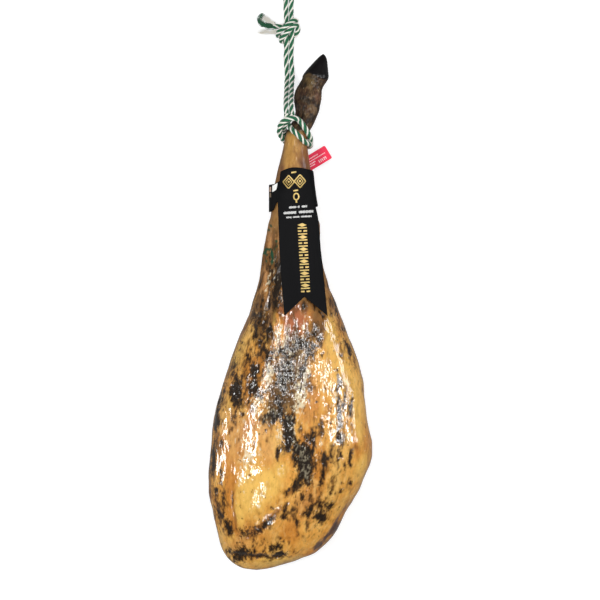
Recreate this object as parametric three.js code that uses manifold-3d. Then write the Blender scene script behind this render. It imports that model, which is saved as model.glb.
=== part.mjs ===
// A whole dry-cured ham on the bone, lying on a table with its hoof towards +Y.
// A twisted cord is hitched round the shank and laid out beyond the hoof, a card
// label is wrapped round the shank, and a moulded seal tag is strapped to it.
// Millimetres, +Z up. The origin is under the middle of the ham, on the table.
import * as THREE from "three";
import { mergeVertices } from "three/addons/utils/BufferGeometryUtils.js";
import Module from "manifold-3d";

const wasm = await Module();
wasm.setup();

// ---------------------------------------------------------------- dimensions
const UNIT = 1.55; // one step of the outline tables
const MID_U = 290.65; // outline column over x = 0
const MID_V = 312.0; // outline row over y = 0
const ROPE_D = 8.0; // twisted cord
const TUBE_D = 7.5; // the plain tube that stands for the cord
const CARD = 0.8; // label card
const TAG_T = 1.6; // seal tag
const VIEW_D = 2700; // the outline tables are drawn as seen from this far above
const VIEW_Z = 60;
const VIEW_U = 300;
const VIEW_V = 300;

// Outline of the leg seen from above: row, left edge, right edge, underside z,
// upper side z, lift of the left edge over the right one.
const LEG = [
  [52.5, 323, 323.6, 42.8, 43.6, 0],
  [54, 321.2, 325, 37.8, 48.6, 0],
  [57, 318.2, 326.3, 34.2, 52.2, 0],
  [60, 315.3, 326.9, 31.5, 54.9, 0],
  [64, 311.6, 327.3, 29.2, 57.1, 0],
  [68, 308, 327.7, 27.9, 58.5, 0],
  [72, 304.8, 328.1, 27, 59.9, 0],
  [75, 303, 328.3, 26.6, 60.8, 0],
  [78, 302, 327.6, 26.6, 60.8, 0],
  [82, 299.8, 325.6, 26.6, 60.8, 0],
  [86, 297.3, 323, 26.1, 61.2, 0],
  [90, 295.4, 321.6, 25.2, 62.1, 0],
  [95, 294.2, 321.5, 24.3, 63, 0],
  [100, 294.3, 320.8, 24.3, 63.9, 0],
  [105, 295, 319.8, 24.8, 64.4, 0],
  [110, 295.8, 318.8, 25.2, 64.8, 0],
  [115, 295.2, 317, 26.1, 65.7, 0],
  [120, 292.5, 315, 27, 67.5, 0],
  [125, 289.5, 312.8, 27.9, 69.3, 0],
  [130, 287, 310, 28.8, 71.1, 0],
  [136, 285.3, 308.2, 28.8, 72, 0],
  [142, 284.2, 307.5, 28.4, 72.5, 0],
  [150, 282.6, 308, 27.9, 72.9, 0],
  [158, 280.6, 309, 27, 73.8, 0],
  [166, 278.5, 310, 26.1, 74.7, 0],
  [176, 276.3, 311.3, 24.8, 75.6, 0],
  [186, 274.6, 312.4, 23.4, 76.5, 0],
  [196, 273.2, 313.8, 22.1, 77.4, 0.5],
  [206, 272, 315.5, 20.7, 78.3, 0.9],
  [216, 270.6, 317.3, 18.9, 79.2, 1.4],
  [226, 268, 320, 17.1, 80.1, 1.8],
  [236, 266.2, 320, 15.3, 81, 1.8],
  [246, 263.8, 319.9, 13.5, 81.9, 2.2],
  [256, 262, 321.2, 11.2, 83.2, 2.7],
  [268, 260.5, 323.8, 9, 85.5, 2.7],
  [280, 259, 327, 6.8, 88.2, 3.1],
  [290, 256.4, 330.3, 5, 90.9, 3.6],
  [300, 253, 335, 3.1, 93.6, 3.6],
  [312, 250, 339.5, 0.9, 97.2, 4],
  [324, 245.5, 344.5, -0.9, 100.4, 4.5],
  [336, 239.5, 349.2, -2.2, 103.5, 4.5],
  [348, 234.5, 354, -3.6, 106.2, 5],
  [360, 230, 358, -4.5, 108.9, 5.4],
  [372, 226.2, 361.2, -5.4, 111.2, 5.9],
  [384, 222.2, 363.8, -6.3, 113, 6.3],
  [396, 219, 364.6, -6.8, 114.8, 6.8],
  [408, 215.2, 366, -7.2, 116.1, 7.2],
  [420, 212.6, 367.6, -7.2, 117, 7.7],
  [432, 211.4, 370, -7.2, 117.5, 8.1],
  [444, 210.9, 372.6, -7.2, 117.5, 8.1],
  [456, 210, 372.6, -6.8, 117, 8.1],
  [464, 209.2, 370.8, -6.3, 116.3, 7.7],
  [472, 208.3, 367.4, -5.9, 115.2, 7.2],
  [480, 208, 364, -5.4, 113.9, 6.8],
  [490, 208.2, 360.2, -4, 111.6, 6.3],
  [500, 209.8, 354.2, -2.7, 108.9, 5.4],
  [510, 212.4, 347.6, -0.9, 105.8, 4.5],
  [520, 214, 342, 0.9, 102.2, 3.6],
  [530, 216.2, 337.2, 3.6, 97.7, 2.7],
  [540, 218.4, 330.4, 7.7, 91.8, 1.8],
  [548, 220.6, 323, 11.7, 86, 0.9],
  [554, 223, 316, 16.2, 80.1, 0.5],
  [560, 227, 301, 21.6, 73.4, 0],
  [565, 232.5, 286, 27.4, 66.6, 0],
  [569, 241, 272, 33.8, 59.4, 0],
  [571.5, 256, 256.6, 45.5, 46.3, 0],
];
// Rows where the leg is sampled, from the hoof's tip to the rump end.
const ROWS = [
  53.2, 55, 58, 62, 67, 72, 76, 80, 85, 91, 98, 106, 114, 121, 128, 136, 146,
  158, 171, 185, 200, 215, 230, 245, 260, 275, 290, 305, 321, 337, 353, 369, 385,
  401, 417, 433, 447, 459, 471, 485, 499, 512, 524, 535, 544.5, 552, 558, 563,
  567, 570,
];
const AROUND = 40;
const POWER_TOP = 2.15;
const POWER_UNDER = 2.7;
const MID_SHARE = 0.46; // height of the widest line, as a share of the thickness

// ------------------------------------------------------------------- helpers
// Monotone cubic through the rows of a table.
function smoothColumn(rows, column) {
  const x = rows.map((r) => r[0]);
  const y = rows.map((r) => r[column]);
  const n = x.length;
  const h = [];
  const d = [];
  for (let i = 0; i < n - 1; i++) {
    h.push(x[i + 1] - x[i]);
    d.push((y[i + 1] - y[i]) / h[i]);
  }
  const m = [d[0]];
  for (let i = 1; i < n - 1; i++) {
    if (d[i - 1] * d[i] <= 0) m.push(0);
    else {
      const w1 = 2 * h[i] + h[i - 1];
      const w2 = h[i] + 2 * h[i - 1];
      m.push((w1 + w2) / (w1 / d[i - 1] + w2 / d[i]));
    }
  }
  m.push(d[n - 2]);
  return (t) => {
    const s = Math.min(Math.max(t, x[0]), x[n - 1]);
    let i = 0;
    while (i < n - 2 && s > x[i + 1]) i++;
    const q = (s - x[i]) / h[i];
    const q2 = q * q;
    const q3 = q2 * q;
    return (
      (2 * q3 - 3 * q2 + 1) * y[i] +
      (q3 - 2 * q2 + q) * h[i] * m[i] +
      (3 * q2 - 2 * q3) * y[i + 1] +
      (q3 - q2) * h[i] * m[i + 1]
    );
  };
}
const legLeft = smoothColumn(LEG, 1);
const legRight = smoothColumn(LEG, 2);
const legUnder = smoothColumn(LEG, 3);
const legTop = smoothColumn(LEG, 4);
const legLift = smoothColumn(LEG, 5);

const X = (u) => (u - MID_U) * UNIT;
const Y = (v) => (MID_V - v) * UNIT;

// A table position at a height far from the reference plane, as seen from above.
function seen(u, v, z) {
  const k = (VIEW_D - (z - VIEW_Z)) / VIEW_D;
  return new THREE.Vector3(
    X(VIEW_U + (u - VIEW_U) * k),
    Y(VIEW_V + (v - VIEW_V) * k),
    z,
  );
}

// A point of the leg's skin at a row, at an angle round it: 0 is +X, a quarter turn is up.
function skin(v, angle) {
  const l = X(legLeft(v));
  const r = X(legRight(v));
  const zb = legUnder(v);
  const zt = legTop(v);
  const mid = zb + MID_SHARE * (zt - zb);
  const c = Math.cos(angle);
  const s = Math.sin(angle);
  const p = 2 / (s >= 0 ? POWER_TOP : POWER_UNDER);
  const cx = Math.sign(c) * Math.pow(Math.abs(c), p);
  const sz = Math.sign(s) * Math.pow(Math.abs(s), p);
  const x = (l + r) / 2 + ((r - l) / 2) * cx;
  const z = mid - legLift(v) * cx + (s >= 0 ? zt - mid : mid - zb) * sz;
  return new THREE.Vector3(x, Y(v), Math.max(z, 0));
}

function skinOut(v, angle) {
  const e = 0.02;
  const a = skin(v, angle + e).sub(skin(v, angle - e));
  const b = skin(v - 0.5, angle).sub(skin(v + 0.5, angle));
  return b.cross(a).normalize();
}

// Moves a point straight out from the leg's middle line until it is clear of the skin.
function clearOf(point, gap) {
  const v = MID_V - point.y / UNIT;
  const l = X(legLeft(v));
  const r = X(legRight(v));
  const zb = legUnder(v);
  const zt = legTop(v);
  const mid = zb + MID_SHARE * (zt - zb);
  const half = (r - l) / 2;
  const dx = point.x - (l + r) / 2;
  const lift = (legLift(v) * dx) / half;
  const dz = point.z + lift - mid;
  const p = dz >= 0 ? POWER_TOP : POWER_UNDER;
  const high = dz >= 0 ? zt - mid : mid - zb;
  const share = Math.pow(
    Math.pow(Math.abs(dx) / half, p) + Math.pow(Math.abs(dz) / high, p),
    1 / p,
  );
  const reach = Math.hypot(dx, dz);
  const need = reach / share + gap;
  if (reach >= need) return point;
  const k = need / reach;
  return new THREE.Vector3((l + r) / 2 + dx * k, point.y, mid + dz * k - lift);
}

// A closed body through rings of points, with a flat or pointed end at each side.
function loft(rings, startPoint, endPoint) {
  const n = rings[0].length;
  const v = [];
  const tri = [];
  rings.forEach((r) => r.forEach((p) => v.push(p)));
  const at = (i, j) => i * n + (j % n);
  for (let i = 0; i < rings.length - 1; i++)
    for (let j = 0; j < n; j++) {
      tri.push(at(i, j), at(i, j + 1), at(i + 1, j));
      tri.push(at(i, j + 1), at(i + 1, j + 1), at(i + 1, j));
    }
  v.push(startPoint, endPoint);
  const s = v.length - 2;
  const e = v.length - 1;
  const last = rings.length - 1;
  for (let j = 0; j < n; j++) {
    tri.push(s, at(0, j + 1), at(0, j));
    tri.push(e, at(last, j), at(last, j + 1));
  }
  return facing(v, tri);
}

function facing(v, tri) {
  let volume = 0;
  for (let i = 0; i < tri.length; i += 3) {
    const [a, b, c] = [v[tri[i]], v[tri[i + 1]], v[tri[i + 2]]];
    volume += a.dot(b.clone().cross(c));
  }
  if (volume < 0)
    for (let i = 0; i < tri.length; i += 3)
      [tri[i + 1], tri[i + 2]] = [tri[i + 2], tri[i + 1]];
  const g = new THREE.BufferGeometry();
  g.setAttribute(
    "position",
    new THREE.Float32BufferAttribute(
      v.flatMap((p) => [p.x, p.y, p.z]),
      3,
    ),
  );
  g.setIndex(tri);
  return g;
}

const middle = (ring) =>
  ring
    .reduce((a, p) => a.add(p), new THREE.Vector3())
    .divideScalar(ring.length);

// A sheet of a given thickness through a grid of points, some cells left out.
function sheet(grid, has, outward, thickness) {
  const v = [];
  const tri = [];
  const id = new Map();
  const key = (i, j, side) => {
    const k = `${i},${j},${side}`;
    if (!id.has(k)) {
      const p = grid[i][j].clone();
      if (side) p.addScaledVector(outward(i, j), thickness);
      id.set(k, v.push(p) - 1);
    }
    return id.get(k);
  };
  const rows = grid.length - 1;
  const columns = grid[0].length - 1;
  const inside = (i, j) =>
    i >= 0 && j >= 0 && i < rows && j < columns && has(i, j);
  for (let i = 0; i < rows; i++)
    for (let j = 0; j < columns; j++) {
      if (!inside(i, j)) continue;
      for (const side of [0, 1]) {
        const q = [
          key(i, j, side),
          key(i, j + 1, side),
          key(i + 1, j + 1, side),
          key(i + 1, j, side),
        ];
        if (side) tri.push(q[0], q[1], q[2], q[0], q[2], q[3]);
        else tri.push(q[0], q[2], q[1], q[0], q[3], q[2]);
      }
      const edges = [
        [!inside(i - 1, j), [i, j], [i, j + 1]],
        [!inside(i, j + 1), [i, j + 1], [i + 1, j + 1]],
        [!inside(i + 1, j), [i + 1, j + 1], [i + 1, j]],
        [!inside(i, j - 1), [i + 1, j], [i, j]],
      ];
      for (const [open, a, b] of edges)
        if (open)
          tri.push(
            key(...a, 0),
            key(...b, 0),
            key(...b, 1),
            key(...a, 0),
            key(...b, 1),
            key(...a, 1),
          );
    }
  return facing(v, tri);
}

function solid(geometry) {
  const g = geometry.clone();
  g.deleteAttribute("normal");
  g.deleteAttribute("uv");
  const m = mergeVertices(g, 1e-4);
  const made = new wasm.Manifold(
    new wasm.Mesh({
      numProp: 3,
      vertProperties: new Float32Array(m.attributes.position.array),
      triVerts: new Uint32Array(m.index.array),
    }),
  );
  return made;
}

function geometryOf(body) {
  const m = body.getMesh();
  const g = new THREE.BufferGeometry();
  g.setAttribute(
    "position",
    new THREE.BufferAttribute(new Float32Array(m.vertProperties), 3),
  );
  g.setIndex(new THREE.BufferAttribute(new Uint32Array(m.triVerts), 1));
  return g;
}

function tube(points, diameter, steps, sides = 8) {
  const path = new THREE.CatmullRomCurve3(points, false, "centripetal");
  const section = new THREE.Shape(
    Array.from({ length: sides }, (_, i) => {
      const a = ((i + 0.5) / sides) * 2 * Math.PI;
      return new THREE.Vector2(
        (Math.cos(a) * diameter) / 2,
        (Math.sin(a) * diameter) / 2,
      );
    }),
  );
  return new THREE.ExtrudeGeometry(section, {
    steps,
    extrudePath: path,
    bevelEnabled: false,
  });
}

// ----------------------------------------------------------------------- ham
function hamGeometry() {
  const rings = ROWS.map((v) =>
    Array.from({ length: AROUND }, (_, j) =>
      skin(v, ((j + 0.5) / AROUND) * 2 * Math.PI),
    ),
  );
  return loft(
    rings,
    new THREE.Vector3(X(323.3), Y(52.5), 48),
    new THREE.Vector3(X(256.3), Y(571.5), 51),
  );
}

// --------------------------------------------------------------------- label
// Front strip of the label, seen from above: row, left edge, right edge, height
// of its middle line over the table, drop of its right edge, drop of its left edge.
const STRIP = [
  [167, 281.2, 307.4, 77, 7.7, 7.7],
  [180, 279.8, 309.9, 77.9, 8.1, 7.2],
  [190, 278.8, 312, 78.7, 8.6, 6.8],
  [201, 278, 314.2, 79.6, 9, 5.9],
  [219, 278.4, 318, 81.2, 9, 4],
  [241, 279.1, 319.9, 83.3, 8.6, 2.7],
  [264, 280.6, 322.5, 86, 7.7, 1.8],
  [289, 282.4, 325, 91.3, 7.2, 1.4],
  [316, 284.8, 327.6, 98.3, 6.8, 1.3],
];
const stripLeft = smoothColumn(STRIP, 1);
const stripRight = smoothColumn(STRIP, 2);
const stripHigh = smoothColumn(STRIP, 3);
const stripDropR = smoothColumn(STRIP, 4);
const stripDropL = smoothColumn(STRIP, 5);

// The card lies close to the skin, and rides over the seal tag's strap.
const STRAP_ROW = 190;
function cardGap(v) {
  const k = Math.abs(v - STRAP_ROW) / 6;
  return 1.2 + 2.0 * Math.max(0, 1 - k * k * 0.5);
}

function stripPoint(v, s) {
  // s runs from 0 at the strip's left edge to 1 at its right edge
  const u = stripLeft(v) + (stripRight(v) - stripLeft(v)) * s;
  const k = 2 * s - 1;
  const drop = (k > 0 ? stripDropR(v) : stripDropL(v)) * Math.pow(Math.abs(k), 2.2);
  return clearOf(new THREE.Vector3(X(u), Y(v), stripHigh(v) - drop), cardGap(v));
}

// The band goes from the strip's right edge under the shank and back up the left
// side, where it stands off, and its end is glued under the strip.
function bandPoint(v, w) {
  const a = stripPoint(v, 0.86);
  const r = stripPoint(v, 1);
  const under = legUnder(v) - 2.6;
  const right = X(legRight(v)) + 3.4;
  const points = [
    a,
    r,
    new THREE.Vector3(Math.max(right, r.x + 0.8), Y(v), 56),
    new THREE.Vector3(right - 2.5, Y(v), 36),
    new THREE.Vector3(right - 15, Y(v), under + 1.6),
    new THREE.Vector3((right + X(270)) / 2, Y(v), under - 0.4),
    new THREE.Vector3(X(274.5), Y(v), under + 2.2),
    new THREE.Vector3(X(269.6), Y(v), 39),
    new THREE.Vector3(X(269.4), Y(v), 52),
    new THREE.Vector3(X(273.2), Y(v), 67),
    stripPoint(v, 0).add(new THREE.Vector3(-1.2, 0, -2.6)),
    stripPoint(v, 0.18).add(new THREE.Vector3(0, 0, -2.1)),
  ];
  const curve = new THREE.CatmullRomCurve3(points, false, "centripetal");
  // start exactly at the strip's right edge
  const t0 = 1 / (points.length - 1);
  return clearOf(curve.getPoint(t0 + (1 - t0) * w), cardGap(v));
}
const BAND_TOP = [
  [0, 168.3],
  [0.14, 172],
  [0.26, 178],
  [0.42, 181],
  [0.62, 184],
  [0.78, 185],
  [0.88, 182],
  [1, 176],
];
const BAND_END = [
  [0, 205],
  [0.3, 207],
  [0.6, 211],
  [0.74, 212],
  [0.82, 209],
  [0.9, 202],
  [1, 199],
];
const bandTop = smoothColumn(BAND_TOP, 1);
const bandEnd = smoothColumn(BAND_END, 1);

function labelGeometry() {
  const across = 10; // cells over the strip
  const round = 26; // cells over the band
  const high = 7; // rows of cells that the band shares with the strip
  const low = 14; // rows of cells under them
  const grid = [];
  for (let i = 0; i <= high + low; i++) {
    const row = [];
    for (let j = 0; j <= across + round; j++) {
      const s = Math.min(j / across, 1);
      const arch = 167.4 + 4.2 * Math.pow(Math.abs(s - 0.52) / 0.52, 2) * (s < 0.52 ? 1 : 0.55);
      const joint = 205;
      const notch = 316 - 19 * (1 - Math.abs(2 * s - 1) ** 1.05);
      if (j <= across) {
        const v =
          i <= high
            ? arch + ((joint - arch) * i) / high
            : joint + ((notch - joint) * (i - high)) / low;
        row.push(stripPoint(v, s));
      } else {
        const w = (j - across) / round;
        const edge = 167.4 + 4.2 * 0.55 * Math.pow(0.48 / 0.52, 2);
        const top = w < 0.02 ? edge : bandTop(w);
        const share = Math.min(i / high, 1);
        row.push(bandPoint(top + (bandEnd(w) - top) * share, w));
      }
    }
    grid.push(row);
  }
  const has = (i, j) => j < across || i < high;
  const outward = (i, j) => {
    const n = grid[0].length - 1;
    const last = j <= across ? high + low : high;
    const lastColumn = i <= high ? n : across;
    const a = grid[i][Math.min(j + 1, lastColumn)].clone().sub(grid[i][Math.max(j - 1, 0)]);
    const b = grid[Math.max(i - 1, 0)][j].clone().sub(grid[Math.min(i + 1, last)][j]);
    return a.cross(b).normalize();
  };
  return sheet(grid, has, outward, CARD);
}

// The small plain sticker on the band's end, beside the strip.
const STICKER_T = 0.3;
function stickerGeometry() {
  const n = 5;
  const grid = [];
  for (let i = 0; i <= n; i++) {
    const row = [];
    for (let j = 0; j <= n; j++) {
      const w = 0.79 + (0.09 * j) / n;
      const v = bandTop(w) + 0.9 + (6.4 * i) / n;
      row.push(bandPoint(v, w));
    }
    grid.push(row);
  }
  const outward = (i, j) => {
    const a = grid[i][Math.min(j + 1, n)].clone().sub(grid[i][Math.max(j - 1, 0)]);
    const b = grid[Math.max(i - 1, 0)][j].clone().sub(grid[Math.min(i + 1, n)][j]);
    return a.cross(b).normalize();
  };
  const raised = grid.map((row, i) =>
    row.map((p, j) => p.clone().addScaledVector(outward(i, j), CARD + 0.45)),
  );
  return sheet(raised, () => true, outward, STICKER_T);
}

// ------------------------------------------------------------------ seal tag
function sealGeometry() {
  const steps = 36;
  const half = 2.6;
  const ring = (offset, side) => (j) => {
    const a = (j / steps) * 2 * Math.PI;
    const v = STRAP_ROW + side * (half / UNIT);
    return skin(STRAP_ROW, a)
      .addScaledVector(skinOut(STRAP_ROW, a).setY(0).normalize(), offset)
      .setY(Y(v));
  };
  const inner = 0.9;
  const outer = 2.1;
  const corners = [ring(inner, -1), ring(outer, -1), ring(outer, 1), ring(inner, 1)];
  const v = [];
  const tri = [];
  for (let j = 0; j < steps; j++) corners.forEach((c) => v.push(c(j)));
  for (let j = 0; j < steps; j++)
    for (let k = 0; k < 4; k++) {
      const a = j * 4 + k;
      const b = j * 4 + ((k + 1) % 4);
      const c = ((j + 1) % steps) * 4 + k;
      const d = ((j + 1) % steps) * 4 + ((k + 1) % 4);
      tri.push(a, b, c, b, d, c);
    }
  const strap = solid(facing(v, tri));
  // flag: a rounded plate that leaves the strap under the shank
  const long = 64;
  const wide = 23;
  const r = 2;
  const flat = new THREE.Shape();
  flat.moveTo(r, -wide / 2);
  flat.lineTo(long - r, -wide / 2);
  flat.quadraticCurveTo(long, -wide / 2, long, -wide / 2 + r);
  flat.lineTo(long, wide / 2 - r);
  flat.quadraticCurveTo(long, wide / 2, long - r, wide / 2);
  flat.lineTo(r, wide / 2);
  flat.quadraticCurveTo(0, wide / 2, 0, wide / 2 - r);
  flat.lineTo(0, -wide / 2 + r);
  flat.quadraticCurveTo(0, -wide / 2, r, -wide / 2);
  const plate = new THREE.ExtrudeGeometry(flat, {
    depth: TAG_T,
    bevelEnabled: false,
    curveSegments: 3,
  });
  const end = seen(328.5, 151.6, 20.2);
  const turn = THREE.MathUtils.degToRad(31.4);
  const dip = THREE.MathUtils.degToRad(3.5);
  plate.translate(-long, 0, -TAG_T);
  plate.rotateY(dip);
  plate.rotateZ(turn);
  plate.translate(end.x, end.y, end.z);
  // neck: the strap's free end, which runs along the shank's underside to the flag
  const neckRows = [166, 170, 174, 178, 182, 186, 190];
  const neck = loft(
    neckRows.map((v) => {
      const top = skin(v, -Math.PI / 2).z - inner;
      const x = X(294 + ((v - 166) / 24) * 1.5);
      return [
        new THREE.Vector3(x - 2.6, Y(v), top - 1.2),
        new THREE.Vector3(x + 2.6, Y(v), top - 1.2),
        new THREE.Vector3(x + 2.6, Y(v), top),
        new THREE.Vector3(x - 2.6, Y(v), top),
      ];
    }),
    new THREE.Vector3(X(294), Y(166) + 0.1, skin(166, -Math.PI / 2).z - inner - 0.6),
    new THREE.Vector3(X(295.5), Y(190) - 0.1, skin(190, -Math.PI / 2).z - inner - 0.6),
  );
  return geometryOf(strap.add(solid(plate)).add(solid(neck)));
}

// ---------------------------------------------------------------------- cord
// Middle line of the cord from the hitch, along the table, round its top loop and back.
const CORD_A = [
  [286.9, 114.2, 74.7],
  [286.2, 110, 71.1],
  [286, 104, 61.2],
  [286.2, 97, 45],
  [286.6, 90, 27.9],
  [286.8, 83, 15],
  [286.9, 76, 6.2],
  [286.8, 68, 4.1],
  [286.4, 58, 4.1],
  [286.2, 50, 4.6],
  [286.3, 44.5, 9],
  [286.5, 40, 12],
  [286.6, 31, 12.3],
  [286.4, 21, 12],
  [286.2, 16.5, 9],
  [286, 11, 4.8],
  [285.8, 3, 4.1],
  [285.2, -8, 4.1],
  [283.4, -20, 4.1],
  [282.2, -31, 4.1],
  [282.8, -41, 4.1],
  [285.4, -48, 4.1],
];
const CORD_TOP = [[289.2, -50.6, 4.1]];
const CORD_B = [
  [293, -48, 4.1],
  [295.7, -41, 4.1],
  [296.4, -31, 4.1],
  [295, -20, 4.1],
  [292.7, -8, 4.1],
  [291.3, 3, 4.1],
  [291.2, 11, 4.8],
  [291.4, 16.5, 9],
  [291.6, 21, 12],
  [291.8, 31, 12.3],
  [291.7, 40, 12],
  [291.5, 44.5, 9],
  [291.4, 50, 4.6],
  [291.6, 58, 4.1],
  [292, 68, 4.1],
  [292.1, 76, 6.2],
  [291.9, 83, 15],
  [291.6, 90, 27.9],
  [291.3, 97, 45],
  [291.2, 104, 61.2],
  [291.5, 110, 71.1],
  [292.1, 114.2, 74.7],
];
function cordGeometry() {
  const points = [...CORD_A, ...CORD_TOP, ...CORD_B].map((p) => seen(...p));
  return tube(points, TUBE_D, 80);
}

// The hitch round the shank: two turns side by side, and the bight across them.
function hitchGeometry() {
  const steps = 30;
  const rings = [];
  for (let i = 0; i < steps; i++) {
    const a = (i / steps) * 2 * Math.PI;
    const v = 136.5 + 4.6 * Math.cos(a) - 3.4 * Math.sin(a);
    const along = new THREE.Vector3(0, 1, 0);
    const out = skinOut(v, a);
    along.addScaledVector(out, -along.dot(out)).normalize();
    const base = skin(v, a);
    rings.push(
      [
        [1.0, -6],
        [2.4, -8],
        [5.6, -8],
        [8.0, -5],
        [8.0, 5],
        [5.6, 8],
        [2.4, 8],
        [1.0, 6],
      ].map(([o, s]) =>
        base.clone().addScaledVector(out, o).addScaledVector(along, s),
      ),
    );
  }
  const v = rings.flat();
  const tri = [];
  const n = 8;
  for (let i = 0; i < steps; i++)
    for (let j = 0; j < n; j++) {
      const a = i * n + j;
      const b = i * n + ((j + 1) % n);
      const c = ((i + 1) % steps) * n + j;
      const d = ((i + 1) % steps) * n + ((j + 1) % n);
      tri.push(a, b, c, b, d, c);
    }
  const turns = solid(facing(v, tri));
  const bight = tube(
    [
      seen(280.6, 131.5, 63),
      seen(282.2, 125.0, 75),
      seen(286.8, 119.6, 80),
      seen(292.6, 118.2, 80.3),
      seen(297.6, 121.5, 76),
    ],
    TUBE_D,
    14,
  );
  return geometryOf(turns.add(solid(bight)));
}

// The stopper knot: turns of the cord's own end round its two legs.
function knotGeometry() {
  const outer = new THREE.Shape();
  const points = (rx, rz, n, power) =>
    Array.from({ length: n }, (_, i) => {
      const a = (i / n) * 2 * Math.PI;
      const c = Math.cos(a);
      const s = Math.sin(a);
      return new THREE.Vector2(
        Math.sign(c) * rx * Math.pow(Math.abs(c), 2 / power),
        Math.sign(s) * rz * Math.pow(Math.abs(s), 2 / power),
      );
    });
  outer.setFromPoints(points(15.6, 12.2, 24, 2.4));
  outer.holes.push(new THREE.Path(points(8.9, 4.7, 24, 4).reverse()));
  const length = 24;
  const g = new THREE.ExtrudeGeometry(outer, {
    depth: length,
    bevelEnabled: false,
  });
  g.rotateX(Math.PI / 2);
  const at = seen(289.15, 30.6, 12.25);
  g.translate(at.x, at.y + length / 2, at.z);
  return g;
}

// The cord's end, unlaid into a brush beside the knot.
function tailGeometry() {
  const n = 10;
  const line = [
    [278.6, 31.0, 5.4, 3.6, 4.6],
    [276.0, 30.4, 5.6, 5.4, 4.9],
    [272.5, 28.4, 5.4, 7.6, 4.8],
    [268.0, 26.4, 5.2, 9.4, 4.6],
    [263.6, 24.6, 5.0, 9.6, 4.4],
    [260.4, 23.4, 4.8, 7.0, 4.0],
    [258.6, 22.8, 4.6, 3.2, 2.6],
  ];
  const rings = line.map(([u, v, z, wide, high]) =>
    Array.from({ length: n }, (_, j) => {
      const a = (j / n) * 2 * Math.PI;
      const p = seen(u, v, z);
      p.y += Math.cos(a) * wide;
      p.z += Math.sin(a) * high;
      p.z = Math.max(p.z, 0);
      return p;
    }),
  );
  return loft(rings, middle(rings[0]), middle(rings[rings.length - 1]));
}

// --------------------------------------------------------------------- group
const finish = (color, roughness) =>
  new THREE.MeshStandardMaterial({ color, roughness, metalness: 0 });
const ham = new THREE.Group();
const add = (name, geometry, material) => {
  const g = geometry.index ? geometry.toNonIndexed() : geometry;
  g.computeVertexNormals();
  const mesh = new THREE.Mesh(g, material);
  mesh.name = name;
  ham.add(mesh);
};
add("ham", hamGeometry(), finish(0xd8953f, 0.35));
add("label_sleeve", labelGeometry(), finish(0x15151a, 0.5));
add("label_sticker", stickerGeometry(), finish(0xeeeeea, 0.5));
add("seal_tag", sealGeometry(), finish(0xe2364e, 0.4));
add("rope_hitch", hitchGeometry(), finish(0x1d6b43, 0.8));
add("hanging_rope", cordGeometry(), finish(0x1d6b43, 0.8));
add("rope_knot", knotGeometry(), finish(0x1d6b43, 0.8));
add("rope_tail", tailGeometry(), finish(0x1d6b43, 0.9));

export default ham;
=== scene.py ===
"""A whole cured ham lying on its flat underside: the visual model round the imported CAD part."""

import math

import bpy
import numpy as np
from mathutils import Matrix, Vector


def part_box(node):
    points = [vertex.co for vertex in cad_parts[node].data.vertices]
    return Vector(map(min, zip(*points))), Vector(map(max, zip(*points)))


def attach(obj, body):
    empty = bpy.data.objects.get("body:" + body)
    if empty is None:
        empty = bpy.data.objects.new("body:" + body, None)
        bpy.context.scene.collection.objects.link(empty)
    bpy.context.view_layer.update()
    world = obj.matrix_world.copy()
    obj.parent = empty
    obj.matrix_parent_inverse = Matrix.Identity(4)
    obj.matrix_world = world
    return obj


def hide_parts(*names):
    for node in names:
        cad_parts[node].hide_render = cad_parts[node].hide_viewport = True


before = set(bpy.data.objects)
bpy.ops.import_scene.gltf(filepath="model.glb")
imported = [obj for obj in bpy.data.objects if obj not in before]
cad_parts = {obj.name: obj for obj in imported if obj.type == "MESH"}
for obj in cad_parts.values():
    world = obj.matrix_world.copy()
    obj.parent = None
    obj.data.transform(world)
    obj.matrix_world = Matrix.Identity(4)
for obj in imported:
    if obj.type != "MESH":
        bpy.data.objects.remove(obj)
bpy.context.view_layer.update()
HAM_LO, HAM_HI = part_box("ham")

# ------------------------------------------------------------------ the frame
# The tables below are drawn on the same grid as the CAD source: 1.55 mm a step.
UNIT = 1.55
MID_U, MID_V = 290.65, 312.0
VIEW_D, VIEW_Z, VIEW_U, VIEW_V = 2700.0, 60.0, 300.0, 300.0

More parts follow.
